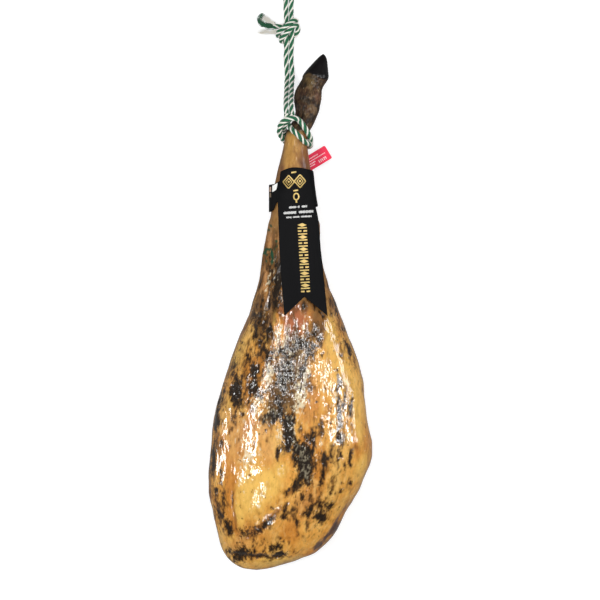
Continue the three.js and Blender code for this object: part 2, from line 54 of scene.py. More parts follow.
LEG = np.array(
    [
        [52.5, 323, 323.6, 42.8, 43.6, 0],
        [54, 321.2, 325, 37.8, 48.6, 0],
        [57, 318.2, 326.3, 34.2, 52.2, 0],
        [60, 315.3, 326.9, 31.5, 54.9, 0],
        [64, 311.6, 327.3, 29.2, 57.1, 0],
        [68, 308, 327.7, 27.9, 58.5, 0],
        [72, 304.8, 328.1, 27, 59.9, 0],
        [75, 303, 328.3, 26.6, 60.8, 0],
        [78, 302, 327.6, 26.6, 60.8, 0],
        [82, 299.8, 325.6, 26.6, 60.8, 0],
        [86, 297.3, 323, 26.1, 61.2, 0],
        [90, 295.4, 321.6, 25.2, 62.1, 0],
        [95, 294.2, 321.5, 24.3, 63, 0],
        [100, 294.3, 320.8, 24.3, 63.9, 0],
        [105, 295, 319.8, 24.8, 64.4, 0],
        [110, 295.8, 318.8, 25.2, 64.8, 0],
        [115, 295.2, 317, 26.1, 65.7, 0],
        [120, 292.5, 315, 27, 67.5, 0],
        [125, 289.5, 312.8, 27.9, 69.3, 0],
        [130, 287, 310, 28.8, 71.1, 0],
        [136, 285.3, 308.2, 28.8, 72, 0],
        [142, 284.2, 307.5, 28.4, 72.5, 0],
        [150, 282.6, 308, 27.9, 72.9, 0],
        [158, 280.6, 309, 27, 73.8, 0],
        [166, 278.5, 310, 26.1, 74.7, 0],
        [176, 276.3, 311.3, 24.8, 75.6, 0],
        [186, 274.6, 312.4, 23.4, 76.5, 0],
        [196, 273.2, 313.8, 22.1, 77.4, 0.5],
        [206, 272, 315.5, 20.7, 78.3, 0.9],
        [216, 270.6, 317.3, 18.9, 79.2, 1.4],
        [226, 268, 320, 17.1, 80.1, 1.8],
        [236, 266.2, 320, 15.3, 81, 1.8],
        [246, 263.8, 319.9, 13.5, 81.9, 2.2],
        [256, 262, 321.2, 11.2, 83.2, 2.7],
        [268, 260.5, 323.8, 9, 85.5, 2.7],
        [280, 259, 327, 6.8, 88.2, 3.1],
        [290, 256.4, 330.3, 5, 90.9, 3.6],
        [300, 253, 335, 3.1, 93.6, 3.6],
        [312, 250, 339.5, 0.9, 97.2, 4],
        [324, 245.5, 344.5, -0.9, 100.4, 4.5],
        [336, 239.5, 349.2, -2.2, 103.5, 4.5],
        [348, 234.5, 354, -3.6, 106.2, 5],
        [360, 230, 358, -4.5, 108.9, 5.4],
        [372, 226.2, 361.2, -5.4, 111.2, 5.9],
        [384, 222.2, 363.8, -6.3, 113, 6.3],
        [396, 219, 364.6, -6.8, 114.8, 6.8],
        [408, 215.2, 366, -7.2, 116.1, 7.2],
        [420, 212.6, 367.6, -7.2, 117, 7.7],
        [432, 211.4, 370, -7.2, 117.5, 8.1],
        [444, 210.9, 372.6, -7.2, 117.5, 8.1],
        [456, 210, 372.6, -6.8, 117, 8.1],
        [464, 209.2, 370.8, -6.3, 116.3, 7.7],
        [472, 208.3, 367.4, -5.9, 115.2, 7.2],
        [480, 208, 364, -5.4, 113.9, 6.8],
        [490, 208.2, 360.2, -4, 111.6, 6.3],
        [500, 209.8, 354.2, -2.7, 108.9, 5.4],
        [510, 212.4, 347.6, -0.9, 105.8, 4.5],
        [520, 214, 342, 0.9, 102.2, 3.6],
        [530, 216.2, 337.2, 3.6, 97.7, 2.7],
        [540, 218.4, 330.4, 7.7, 91.8, 1.8],
        [548, 220.6, 323, 11.7, 86, 0.9],
        [554, 223, 316, 16.2, 80.1, 0.5],
        [560, 227, 301, 21.6, 73.4, 0],
        [565, 232.5, 286, 27.4, 66.6, 0],
        [569, 241, 272, 33.8, 59.4, 0],
        [571.5, 256, 256.6, 45.5, 46.3, 0],
    ]
)
POWER_TOP, POWER_UNDER, MID_SHARE = 2.15, 2.7, 0.46


def pchip(x, y):
    """Monotone cubic through (x, y), as in the CAD source."""
    x, y = np.asarray(x, float), np.asarray(y, float)
    h = np.diff(x)
    d = np.diff(y) / h
    m = np.zeros_like(x)
    m[0], m[-1] = d[0], d[-1]
    w1, w2 = 2 * h[1:] + h[:-1], h[1:] + 2 * h[:-1]
    same = d[:-1] * d[1:] > 0
    safe = np.where(same, d[:-1], 1), np.where(same, d[1:], 1)
    m[1:-1] = np.where(same, (w1 + w2) / (w1 / safe[0] + w2 / safe[1]), 0)

    def f(t):
        s = np.clip(np.asarray(t, float), x[0], x[-1])
        i = np.clip(np.searchsorted(x, s, side="right") - 1, 0, len(h) - 1)
        q = (s - x[i]) / h[i]
        q2, q3 = q * q, q * q * q
        return (
            (2 * q3 - 3 * q2 + 1) * y[i]
            + (q3 - 2 * q2 + q) * h[i] * m[i]
            + (3 * q2 - 2 * q3) * y[i + 1]
            + (q3 - q2) * h[i] * m[i + 1]
        )

    return f


leg_left, leg_right, leg_under, leg_top, leg_lift = (
    pchip(LEG[:, 0], LEG[:, k]) for k in range(1, 6)
)


def X(u):
    return (np.asarray(u, float) - MID_U) * UNIT


def Y(v):
    return (MID_V - np.asarray(v, float)) * UNIT


def seen(u, v, z):
    """A grid position at a height, allowing for the view from above (mm)."""
    u, v, z = (np.asarray(a, float) for a in (u, v, z))
    k = (VIEW_D - (z - VIEW_Z)) / VIEW_D
    return np.stack(
        [X(VIEW_U + (u - VIEW_U) * k), Y(VIEW_V + (v - VIEW_V) * k), z + 0 * u], -1
    )


def unseen(p):
    """Grid position (u, v) at which a point in mm shows."""
    k = (VIEW_D - (p[..., 2] - VIEW_Z)) / VIEW_D
    u = VIEW_U + (p[..., 0] / UNIT + MID_U - VIEW_U) / k
    v = VIEW_V + (MID_V - p[..., 1] / UNIT - VIEW_V) / k
    return u, v


def skin(v, angle):
    """A point of the smooth leg at a row, at an angle round it: 0 is +X, a quarter turn is up (mm)."""
    left, right = X(leg_left(v)), X(leg_right(v))
    zb, zt = leg_under(v), leg_top(v)
    mid = zb + MID_SHARE * (zt - zb)
    c, s = np.cos(angle), np.sin(angle)
    p = 2 / np.where(s >= 0, POWER_TOP, POWER_UNDER)
    cx = np.sign(c) * np.abs(c) ** p
    sz = np.sign(s) * np.abs(s) ** p
    x = (left + right) / 2 + (right - left) / 2 * cx
    z = mid - leg_lift(v) * cx + np.where(s >= 0, zt - mid, mid - zb) * sz
    return np.stack([x, Y(v) + 0 * x, np.maximum(z, 0)], -1)


def skin_out(v, angle):
    e = 0.02
    a = skin(v, angle + e) - skin(v, angle - e)
    b = skin(v - 0.5, angle) - skin(v + 0.5, angle)
    n = np.cross(b, a)
    return n / np.maximum(np.linalg.norm(n, axis=-1, keepdims=True), 1e-9)


def top_of(u, v):
    """Height of the smooth leg's upper side over a grid position (mm)."""
    left, right = leg_left(v), leg_right(v)
    zb, zt = leg_under(v), leg_top(v)
    mid = zb + MID_SHARE * (zt - zb)
    cx = np.clip((u - (left + right) / 2) / ((right - left) / 2), -0.999, 0.999)
    return (
        mid
        - leg_lift(v) * cx
        + (zt - mid) * (1 - np.abs(cx) ** POWER_TOP) ** (1 / POWER_TOP)
    )


# ---------------------------------------------------------------------- noise
_perm = np.random.default_rng(20261).permutation(256)
_perm = np.concatenate([_perm, _perm, _perm])
_grad = np.random.default_rng(77).normal(size=(256, 3))
_grad /= np.linalg.norm(_grad, axis=1, keepdims=True)


def perlin(p):
    """Gradient noise, about -1 to 1, at points (n, 3)."""
    shape = p.shape[:-1]
    p = p.reshape(-1, 3)
    i = np.floor(p).astype(int)
    f = p - i
    w = f * f * f * (f * (f * 6 - 15) + 10)
    i &= 255
    total = 0
    for a in (0, 1):
        for b in (0, 1):
            for c in (0, 1):
                h = _perm[_perm[_perm[i[:, 0] + a] + i[:, 1] + b] + i[:, 2] + c]
                g = _grad[h]
                d = f - np.array([a, b, c])
                share = (
                    (w[:, 0] if a else 1 - w[:, 0])
                    * (w[:, 1] if b else 1 - w[:, 1])
                    * (w[:, 2] if c else 1 - w[:, 2])
                )
                total = total + share * np.einsum("ij,ij->i", g, d)
    return (total * 1.7).reshape(shape)


def fbm(p, octaves=4, gain=0.5, step=2.03):
    total, size, norm = 0, 1.0, 0.0
    for k in range(octaves):
        total = total + size * perlin(p + 17.3 * k)
        norm += size
        size *= gain
        p = p * step
    return total / norm


def ridged(p, octaves=3):
    total, size, norm = 0, 1.0, 0.0
    for k in range(octaves):
        total = total + size * (1 - np.abs(perlin(p + 9.1 * k)) * 2)
        norm += size
        size *= 0.5
        p = p * 2.05
    return total / norm


def smooth(a, b, x):
    t = np.clip((x - a) / (b - a), 0, 1)
    return t * t * (3 - 2 * t)


def strokes(u, v, table):
    """Soft strokes: each is u, v, half length, half width, turn in degrees from the v axis, strength."""
    total = np.zeros_like(u)
    for cu, cv, long, wide, turn, strength in table:
        a = math.radians(turn)
        du, dv = u - cu, v - cv
        along = -du * math.sin(a) + dv * math.cos(a)
        across = du * math.cos(a) + dv * math.sin(a)
        r = np.sqrt((along / long) ** 2 + (across / wide) ** 2)
        total = np.maximum(total, strength * np.exp(-0.8 * r**2.4))
    return total


# ------------------------------------------------------------------ materials
def srgb(r, g, b):
    def lin(c):
        c /= 255.0
        return c / 12.92 if c <= 0.04045 else ((c + 0.055) / 1.055) ** 2.4

    return (lin(r), lin(g), lin(b), 1.0)


class Nodes:
    """Small helper for building a material's nodes."""

    def __init__(self, name):
        self.material = bpy.data.materials.new(name)
        self.material.use_nodes = True
        self.tree = self.material.node_tree
        self.bsdf = self.tree.nodes["Principled BSDF"]

    def add(self, kind, **values):
        node = self.tree.nodes.new(kind)
        for key, value in values.items():
            if key.startswith("i_"):
                node.inputs[key[2:].replace("_", " ")].default_value = value
            else:
                setattr(node, key, value)
        return node

    def link(self, a, b):
        self.tree.links.new(a, b)

    def to(self, source, name):
        self.link(source, self.bsdf.inputs[name])

    def attribute(self, name):
        return self.add("ShaderNodeAttribute", attribute_name=name)

    def noise(self, vector, scale, detail=4.0, rough=0.55, distortion=0.0):
        n = self.add("ShaderNodeTexNoise")
        n.inputs["Scale"].default_value = scale
        n.inputs["Detail"].default_value = detail
        n.inputs["Roughness"].default_value = rough
        n.inputs["Distortion"].default_value = distortion
        self.link(vector, n.inputs["Vector"])
        return n.outputs["Fac"]

    def mapping(self, vector, scale=(1, 1, 1), rotation=(0, 0, 0)):
        m = self.add("ShaderNodeMapping")
        m.inputs["Scale"].default_value = scale
        m.inputs["Rotation"].default_value = rotation
        self.link(vector, m.inputs["Vector"])
        return m.outputs["Vector"]

    def math(self, operation, a, b=0.0, clamp=False):
        m = self.add("ShaderNodeMath", operation=operation, use_clamp=clamp)
        for k, x in enumerate((a, b)):
            if isinstance(x, (int, float)):
                m.inputs[k].default_value = x
            else:
                self.link(x, m.inputs[k])
        return m.outputs[0]

    def ramp(self, fac, stops, interpolation="LINEAR"):
        r = self.add("ShaderNodeValToRGB")
        r.color_ramp.interpolation = interpolation
        while len(r.color_ramp.elements) < len(stops):
            r.color_ramp.elements.new(0.5)
        for element, (place, colour) in zip(r.color_ramp.elements, stops):
            element.position = place
            element.color = (
                colour if hasattr(colour, "__len__") else (colour, colour, colour, 1)
            )
        self.link(fac, r.inputs["Fac"])
        return r.outputs["Color"]

    def step(self, fac, a, b):
        m = self.add("ShaderNodeMapRange", interpolation_type="SMOOTHSTEP")
        m.inputs["From Min"].default_value = a
        m.inputs["From Max"].default_value = b
        self.link(fac, m.inputs["Value"])
        return m.outputs["Result"]

    def mix(self, fac, a, b, blend="MIX"):
        m = self.add("ShaderNodeMix", data_type="RGBA", blend_type=blend)
        self._set(m.inputs[0], fac)
        self._set(m.inputs[6], a)
        self._set(m.inputs[7], b)
        return m.outputs[2]

    def _set(self, socket, x):
        if hasattr(x, "links") or hasattr(x, "is_linked"):
            self.link(x, socket)
        else:
            socket.default_value = x

    def bump(self, height, strength, distance, normal=None):
        b = self.add("ShaderNodeBump")
        b.inputs["Strength"].default_value = strength
        b.inputs["Distance"].default_value = distance
        self.link(height, b.inputs["Height"])
        if normal is not None:
            self.link(normal, b.inputs["Normal"])
        return b.outputs["Normal"]


def plain(name, colour, roughness, coat=0.0, coat_roughness=0.1, specular=0.5, metallic=0.0):
    n = Nodes(name)
    n.bsdf.inputs["Base Color"].default_value = colour
    n.bsdf.inputs["Roughness"].default_value = roughness
    n.bsdf.inputs["Metallic"].default_value = metallic
    n.bsdf.inputs["Specular IOR Level"].default_value = specular
    n.bsdf.inputs["Coat Weight"].default_value = coat
    n.bsdf.inputs["Coat Roughness"].default_value = coat_roughness
    return n


# --------------------------------------------------------------------- meshes
def mesh(name, points_mm, faces, material, smooth_shade=True):
    """An object from points in mm; faces is an (n, 4) or (n, 3) array or a list."""
    data = bpy.data.meshes.new(name)
    points = np.asarray(points_mm, np.float32) / 1000.0
    if isinstance(faces, np.ndarray):
        n, k = faces.shape
        data.vertices.add(len(points))
        data.vertices.foreach_set("co", points.ravel())
        data.loops.add(n * k)
        data.loops.foreach_set("vertex_index", faces.astype(np.int32).ravel())
        data.polygons.add(n)
        data.polygons.foreach_set("loop_start", np.arange(0, n * k, k, dtype=np.int32))
        data.polygons.foreach_set("loop_total", np.full(n, k, np.int32))
        data.update(calc_edges=True)
        data.validate()
    else:
        data.from_pydata([tuple(p) for p in points.tolist()], [], faces)
        data.update()
    if smooth_shade:
        data.polygons.foreach_set("use_smooth", np.ones(len(data.polygons), bool))
    obj = bpy.data.objects.new(name, data)
    bpy.context.scene.collection.objects.link(obj)
    data.materials.append(material)
    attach(obj, "root")
    return obj


def paint(obj, name, values):
    """A float or colour value on each vertex."""
    values = np.asarray(values, np.float32)
    if values.ndim == 1:
        attribute = obj.data.attributes.new(name, "FLOAT", "POINT")
        attribute.data.foreach_set("value", values)
    else:
        if values.shape[1] == 3:
            values = np.concatenate([values, np.ones((len(values), 1), np.float32)], 1)
        attribute = obj.data.attributes.new(name, "FLOAT_COLOR", "POINT")
        attribute.data.foreach_set("color", values.ravel())


def ring_faces(rings, sides, closed=False, start=0):
    """Quads between rings of points that follow each other."""
    i = np.arange(rings if closed else rings - 1)[:, None]
    j = np.arange(sides)[None, :]
    a = i * sides + j
    b = i * sides + (j + 1) % sides
    c = ((i + 1) % rings) * sides + (j + 1) % sides
    d = ((i + 1) % rings) * sides + j
    return np.stack([a, b, c, d], -1).reshape(-1, 4) + start


# ------------------------------------------------------------------------ ham
ROWS_N, AROUND_N = 540, 368


def ham_grid():
    """Evenly spaced points of the smooth leg, row by row, starting underneath."""
    ends = 14
    middle = np.linspace(55.0, 568.2, ROWS_N - 2 * ends)
    k = np.arange(ends) / ends
    top = 52.7 + (55.0 - 52.7) * k**1.6
    low = 568.2 + (571.3 - 568.2) * (1 - (1 - (k + 1 / ends)) ** 1.7)
    v = np.concatenate([top, middle, low])
    fine = 1441
    t = np.linspace(0, 2 * math.pi, fine) - math.pi / 2
    ring = skin(v[:, None], t[None, :])
    d = np.linalg.norm(np.diff(ring, axis=1), axis=2)
    s = np.concatenate([np.zeros((len(v), 1)), np.cumsum(d, 1)], 1)
    want = np.arange(AROUND_N) / AROUND_N
    # the upper side has somewhat more of the points than the side it lies on
    want = want + 0.035 * np.sin(2 * math.pi * want)
    out = np.empty((len(v), AROUND_N, 3))
    angle = np.empty((len(v), AROUND_N))
    for i in range(len(v)):
        at = want * s[i, -1]
        for c in range(3):
            out[i, :, c] = np.interp(at, s[i], ring[i, :, c])
        angle[i] = np.interp(at, s[i], t)
    return v, angle, out


def grid_normals(p):
    a = np.roll(p, -1, 1) - np.roll(p, 1, 1)
    b = np.empty_like(p)
    b[1:-1] = p[:-2] - p[2:]
    b[0], b[-1] = p[0] - p[1], p[-2] - p[-1]
    n = np.cross(b, a)
    return n / np.maximum(np.linalg.norm(n, axis=-1, keepdims=True), 1e-9)


# Dark cured patches on the upper side: u, v, half length, half width, turn, strength.
DARK = [
    (279, 276, 21, 6, 2, 1.1),
    (277, 296, 16, 6.5, 4, 1.1),
    (303.5, 307, 6, 2.0, 14, 0.9),
    (313, 304, 9, 2.4, -42, 0.9),
    (321, 314, 7, 2.4, -30, 0.8),
    (268.5, 305, 13, 3.4, 14, 0.95),
    (262, 303, 11, 2.2, 12, 0.7),
    (258, 316, 4.5, 9, 18, 0.95),
    (255, 329, 6, 4.5, 4, 0.85),
    (265, 333, 16, 4.6, -8, 0.95),
    (270.5, 330.5, 4, 4, 0, 0.95),
    (254.5, 337, 9, 3.6, 2, 0.8),
    (266, 350, 9, 5, -20, 0.85),
    (249, 358, 8, 4, 0, 0.75),
    (254.5, 371, 9, 7, 0, 1.15),
    (253, 388, 14, 6, 0, 1.05),
    (260, 396, 9, 6.5, -20, 1.0),
    (247, 402, 5, 3, 0, 0.6),
    (236.3, 391, 18.5, 6.0, -2, 1.4),
    (233.7, 365.5, 6, 2.6, 4, 0.85),
    (241.5, 414.5, 4.2, 2.4, -25, 0.95),
    (241, 341.5, 2.2, 1.6, 0, 0.9),
    (239, 349, 5, 1.6, 20, 0.6),
    (311, 333, 10, 9, 40, 0.72),
    (308, 350, 12, 8, 30, 1.0),
    (296, 348, 18, 9, 62, 0.92),
    (286, 372, 22, 9, -4, 1.05),
    (301, 371, 12, 3.4, 26, 0.95),
    (282, 382, 16, 7, -8, 1.1),
    (275, 353, 13, 6, 25, 0.95),
    (320.5, 339, 4.4, 3.0, 0, 1.0),
    (316.5, 351, 3.5, 1.8, 0, 0.9),
    (322.5, 352.8, 3.6, 1.9, 0, 0.95),
    (317, 347, 3, 2, 0, 0.7),
    (281, 402, 12, 6, -10, 0.95),
    (273, 415, 7.5, 13, -28, 1.25),
    (288, 421, 10, 7.5, -25, 1.15),
    (288.5, 434, 18, 8.0, -3, 1.25),
    (279, 449, 9, 3.2, 10, 0.85),
    (300, 450, 11, 8.5, -18, 1.15),
    (305, 465, 20, 10, -6, 1.3),
    (305, 478, 9, 9.5, 0, 1.3),
    (297, 486, 5, 9, -45, 0.95),
    (288, 492, 3, 9, -48, 0.8),
    (310.5, 438, 8, 6.5, 5, 0.82),
    (314.5, 448, 10, 3.6, 5, 0.8),
    (323, 458, 9, 4.4, 0, 0.9),
    (321.5, 480, 12, 3.0, 8, 0.9),
    (330, 457, 9, 6, 0, 0.55),
    (341.8, 454.5, 3.4, 2.6, 0, 1.0),
    (350.5, 458, 9, 2.3, 8, 0.9),
    (338, 384, 16, 2.2, -3, 0.75),
    (337, 369.5, 3.6, 2.2, 0, 0.95),
    (340, 382, 8, 3, -12, 0.75),
    (339, 418, 26, 3.4, 0, 1.0),
    (344, 405, 14, 2.4, 0, 0.75),
    (338.5, 438, 8, 3.6, -6, 0.95),
    (350.2, 408, 14, 3.2, 4, 0.9),
    (344, 328.5, 6, 2.6, -16, 0.9),
    (345, 341, 8, 3.2, -16, 0.7),
    (350.4, 353, 6.5, 2.5, -14, 0.85),
    (355, 368, 8, 1.8, -6, 0.6),
    (335, 312, 9, 4.2, -18, 0.7),
    (333, 301, 9, 2.6, -25, 0.65),
    (302.8, 499, 7, 2.2, -16, 0.9),
    (309, 511.5, 9, 3.4, 36, 0.98),
    (319.5, 517.5, 6.5, 9, 12, 1.05),
    (327, 507, 7, 7, 0, 0.8),
    (317, 523, 7, 2.6, 10, 0.7),
    (351, 484, 2.4, 2.0, 0, 1.1),
    (342.5, 483, 2.4, 1.7, 0, 1.0),
    (330.5, 493, 3.2, 1.7, 0, 1.0),
    (340, 491, 4, 1.6, 0, 0.9),
    (322.5, 494.5, 3, 1.7, 0, 0.9),
    (297.5, 522.7, 2.4, 2.0, 0, 1.0),
    (286, 506, 7, 2.6, 15, 0.95),
    (286, 517, 5, 4, 0, 0.75),
    (274, 508.5, 3, 3.6, 0, 0.8),
    (268, 521, 14, 4.6, 52, 0.98),
    (256, 530, 9, 5.5, 58, 1.0),
    (246, 533, 5, 9, -32, 1.0),
    (243, 529, 3, 5, -10, 0.7),
    (240.6, 543.6, 2.2, 3.4, 0, 0.8),
    (241, 554.5, 8, 12.5, -8, 1.12),
    (262, 557, 2.6, 12, 8, 1.1),
    (274, 548.6, 3.4, 8.5, -24, 1.1),
    (280.5, 554.6, 3.8, 9, -4, 1.1),
    (229, 549, 5, 4, 30, 0.7),
    (221.5, 516, 6, 4, -10, 0.85),
    (228, 525, 11, 3.4, -24, 1.1),
    (216.4, 489.6, 3.8, 3.6, 0, 1.15),
    (222.8, 497, 10, 2.4, -4, 0.7),
    (233.2, 498, 7, 1.2, 0, 0.85),
    (221.5, 476, 10, 3.4, -4, 0.65),
    (213.2, 455, 24, 3.0, 2, 1.0),
    (215.6, 419, 18, 4.2, 8, 1.05),
    (218, 402, 14, 3.6, 12, 1.0),
    (220.5, 443, 6, 3, 0, 0.7),
    (224, 388, 16, 2.4, 14, 0.8),
    (232, 362, 16, 2.0, 18, 0.55),
    (266, 431, 3.6, 2.8, 0, 0.75),
    (259, 424, 2.2, 1.4, 0, 0.6),
    (249, 474, 1.5, 1.3, 0, 0.9),
    (242.5, 518, 1.3, 1.1, 0, 0.8),
    (373, 436, 6, 1.6, -14, 1.0),
    (309, 400, 3.4, 1.6, 0, 0.7),
    (317.5, 402, 2, 1.5, 0, 0.7),
    (331, 421, 3, 1.8, 0, 0.9),
    (297, 505, 4, 2, 0, 0.6),
    (341, 355, 1.6, 1.4, 0, 0.9),
    (253.5, 442, 1.5, 1.2, 0, 0.7),
]
# Wide zones with scattered dark specks and brown smudges.
SPECKLED = [
    (274, 280, 40, 15, 4, 0.85),
    (262, 318, 26, 17, 10, 0.80),
    (260, 362, 46, 20, 4, 0.80),
    (256, 404, 18, 16, 0, 0.55),
    (288, 376, 42, 24, 8, 0.68),
    (312, 338, 18, 16, 0, 0.55),
    (276, 405, 22, 18, -20, 0.45),
    (293, 440, 34, 14, -16, 0.55),
    (318, 450, 30, 16, 0, 0.50),
    (333, 466, 36, 22, 12, 0.52),
    (318, 505, 26, 24, 20, 0.56),
    (286, 505, 18, 16, 30, 0.42),
    (262, 524, 12, 24, -34, 0.55),
    (258, 545, 18, 30, -10, 0.38),
    (344, 404, 52, 12, -2, 0.54),
    (340, 332, 40, 11, -18, 0.64),
    (240, 378, 48, 16, 10, 0.72),
    (250, 382, 30, 14, 6, 0.74),
    (221, 500, 40, 9, -8, 0.50),
    (215, 440, 70, 7, 4, 0.80),
    (230, 366, 50, 7, 18, 0.62),
    (331, 296, 36, 7, -14, 0.72),
    (250, 312, 16, 9, 20, 0.60),
]
# Smooth bright fat.
BRIGHT = [
    (252, 492, 30, 17, 8, 1.0),
    (265, 485, 22, 18, 35, 1.0),
    (240, 512, 17, 6, -4, 1.0),
    (280, 470, 14, 10, 10, 0.8),
    (236, 356, 22, 6, 18, 0.9),
    (229, 405, 10, 4, 10, 0.6),
    (331, 336, 24, 7, -8, 0.9),
    (345, 372, 28, 8, -18, 0.85),
    (356, 415, 40, 6, -10, 0.85),
    (362, 465, 22, 7, 22, 0.7),
    (270, 562, 5, 26, -6, 0.7),
    (232, 538, 8, 6, 20, 0.6),
    (273.5, 316, 10, 2.8, 0, 1.0),
    (266, 339, 3, 2.4, 0, 0.9),
    (275, 333, 8, 2.4, 8, 0.5),
    (342, 505, 22, 5, 30, 0.6),
    (243, 410, 14, 5, -6, 0.6),
]
# Lean meat that shows through.
RED = [
    (296, 322, 20, 13, 8, 1.0),
    (293, 333, 16, 7, 10, 0.95),
    (287, 318, 12, 5, 8, 0.8),
    (281, 308, 12, 3.4, 0, 0.85),
    (292, 347, 12, 7, 0, 0.7),
    (264, 306, 10, 4, 12, 0.6),
    (312, 318, 8, 7, -30, 0.6),
    (260, 288, 14, 4, 12, 0.4),
]
# Warm tan, less yellow than the rest.
TAN = [
    (240, 436, 26, 20, 12, 0.8),
    (262, 428, 16, 12, 20, 0.9),
    (268, 448, 14, 10, 0, 0.6),
    (310, 392, 30, 7, 4, 0.5),
    (268, 262, 30, 5, 6, 0.8),
    (330, 305, 18, 5, -20, 0.7),
    (367, 400, 44, 4, -6, 0.9),
    (306, 503, 16, 14, 0, 0.5),
    (240, 544, 12, 12, 0, 0.4),
]
# Grey, wet, crumpled skin down the middle.
GREY = [
    (292, 362, 34, 19, 8, 1.0),
    (284, 392, 26, 18, 0, 1.0),
    (276, 408, 16, 14, -20, 0.8),
    (289, 434, 18, 8, -4, 0.9),
    (305, 466, 20, 9, -6, 0.8),
    (312, 336, 16, 12, 30, 0.75),
    (268, 345, 18, 8, 0, 0.6),
    (274, 270, 34, 8, 2, 0.8),
    (256, 318, 18, 8, 10, 0.6),
    (252, 372, 20, 6, 0, 0.35),
]
# Pale specks of fat and salt on the wet skin, partly painted highlights laid where the wet skin shines.
FLECKS_AND_GLINTS = [
    (279, 331, 15, 3.4, 12, 0.9),
    (284, 340, 12, 5, 10, 0.7),
    (303.5, 328, 13, 3.6, 6, 0.8),
    (309, 319, 3, 4, 0, 0.6),
    (292, 350, 12, 14, 0, 0.5),
    (269, 375, 18, 5, 6, 1.0),
    (276, 352, 8, 6, 0, 0.6),
    (306, 375, 10, 4, 18, 0.9),
    (300, 398, 22, 8, 8, 0.95),
    (290, 372, 26, 16, 0, 0.46),
    (258, 405, 12, 10, 20, 0.75),
    (270, 412, 12, 14, 0, 0.5),
    (324, 378, 30, 2.6, 1, 0.65),
    (322, 366, 10, 5, 0, 0.5),
    (247, 456, 18, 9, 4, 0.85),
    (242, 478, 14, 4, 6, 0.7),
    (262, 455, 9, 4, 0, 0.6),
    (259, 496, 12, 6, 30, 0.7),
    (236, 442, 12, 3, 0, 0.5),
    (279, 433, 10, 3.4, 8, 0.9),
    (293, 433, 16, 7, -8, 0.55),
    (281, 470, 10, 4, 0, 0.5),
    (296, 447, 10, 8, -20, 0.6),
    (307, 474, 10, 6, 0, 0.9),
    (303, 456, 13, 5.5, -8, 0.75),
    (349, 432, 14, 5, 0, 0.6),
    (334, 396, 20, 3, 4, 0.6),
    (321.5, 446, 6, 2.4, 0, 0.5),
    (316, 458, 5, 1.6, 0, 0.7),
    (274, 274, 20, 4, 4, 0.4),
    (268.5, 283, 12, 2.0, 10, 0.8),
    (243, 430, 20, 14, 0, 0.35),
]
# Purplish grey edge of cut skin.
PURPLE = [
    (332, 531, 17, 3.6, 33, 1.0),
    (319, 545, 8, 3.6, 42, 1.0),
    (345, 508, 14, 2.0, 33, 0.6),
    (366.5, 398, 30, 1.4, -4, 0.6),
    (352, 490, 16, 1.4, 30, 0.5),
]
# Faded stamp ink.
INK = [
    (271, 226, 1.5, 2.6, 40, 0.9),
    (268.5, 230, 1.5, 1.6, 0, 0.9),
    (276.5, 241, 2.0, 1.6, 0, 0.8),
    (277, 246, 3.0, 1.4, 10, 0.6),
    (268, 249.4, 1.5, 3.6, 0, 1.15),
    (265, 252.4, 3.0, 1.4, 30, 1.15),
    (266.8, 254.6, 1.4, 1.6, 0, 0.9),
    (272.2, 255.0, 5.4, 1.5, -6, 1.15),
    (272.0, 262.0, 3.2, 1.3, 4, 0.95),
    (266.6, 261.0, 2.0, 1.8, 0, 0.75),
    (274.6, 249.0, 2.6, 1.2, 0, 0.6),
]


def even(p, scale, octaves, gain=0.55, seed=0.0):
    """Layered noise brought to about unit spread; scale is cycles a metre along X, Y and Z."""
    f = fbm(p * np.array(scale) + seed, octaves, gain)
    return (f - f.mean()) / f.std()


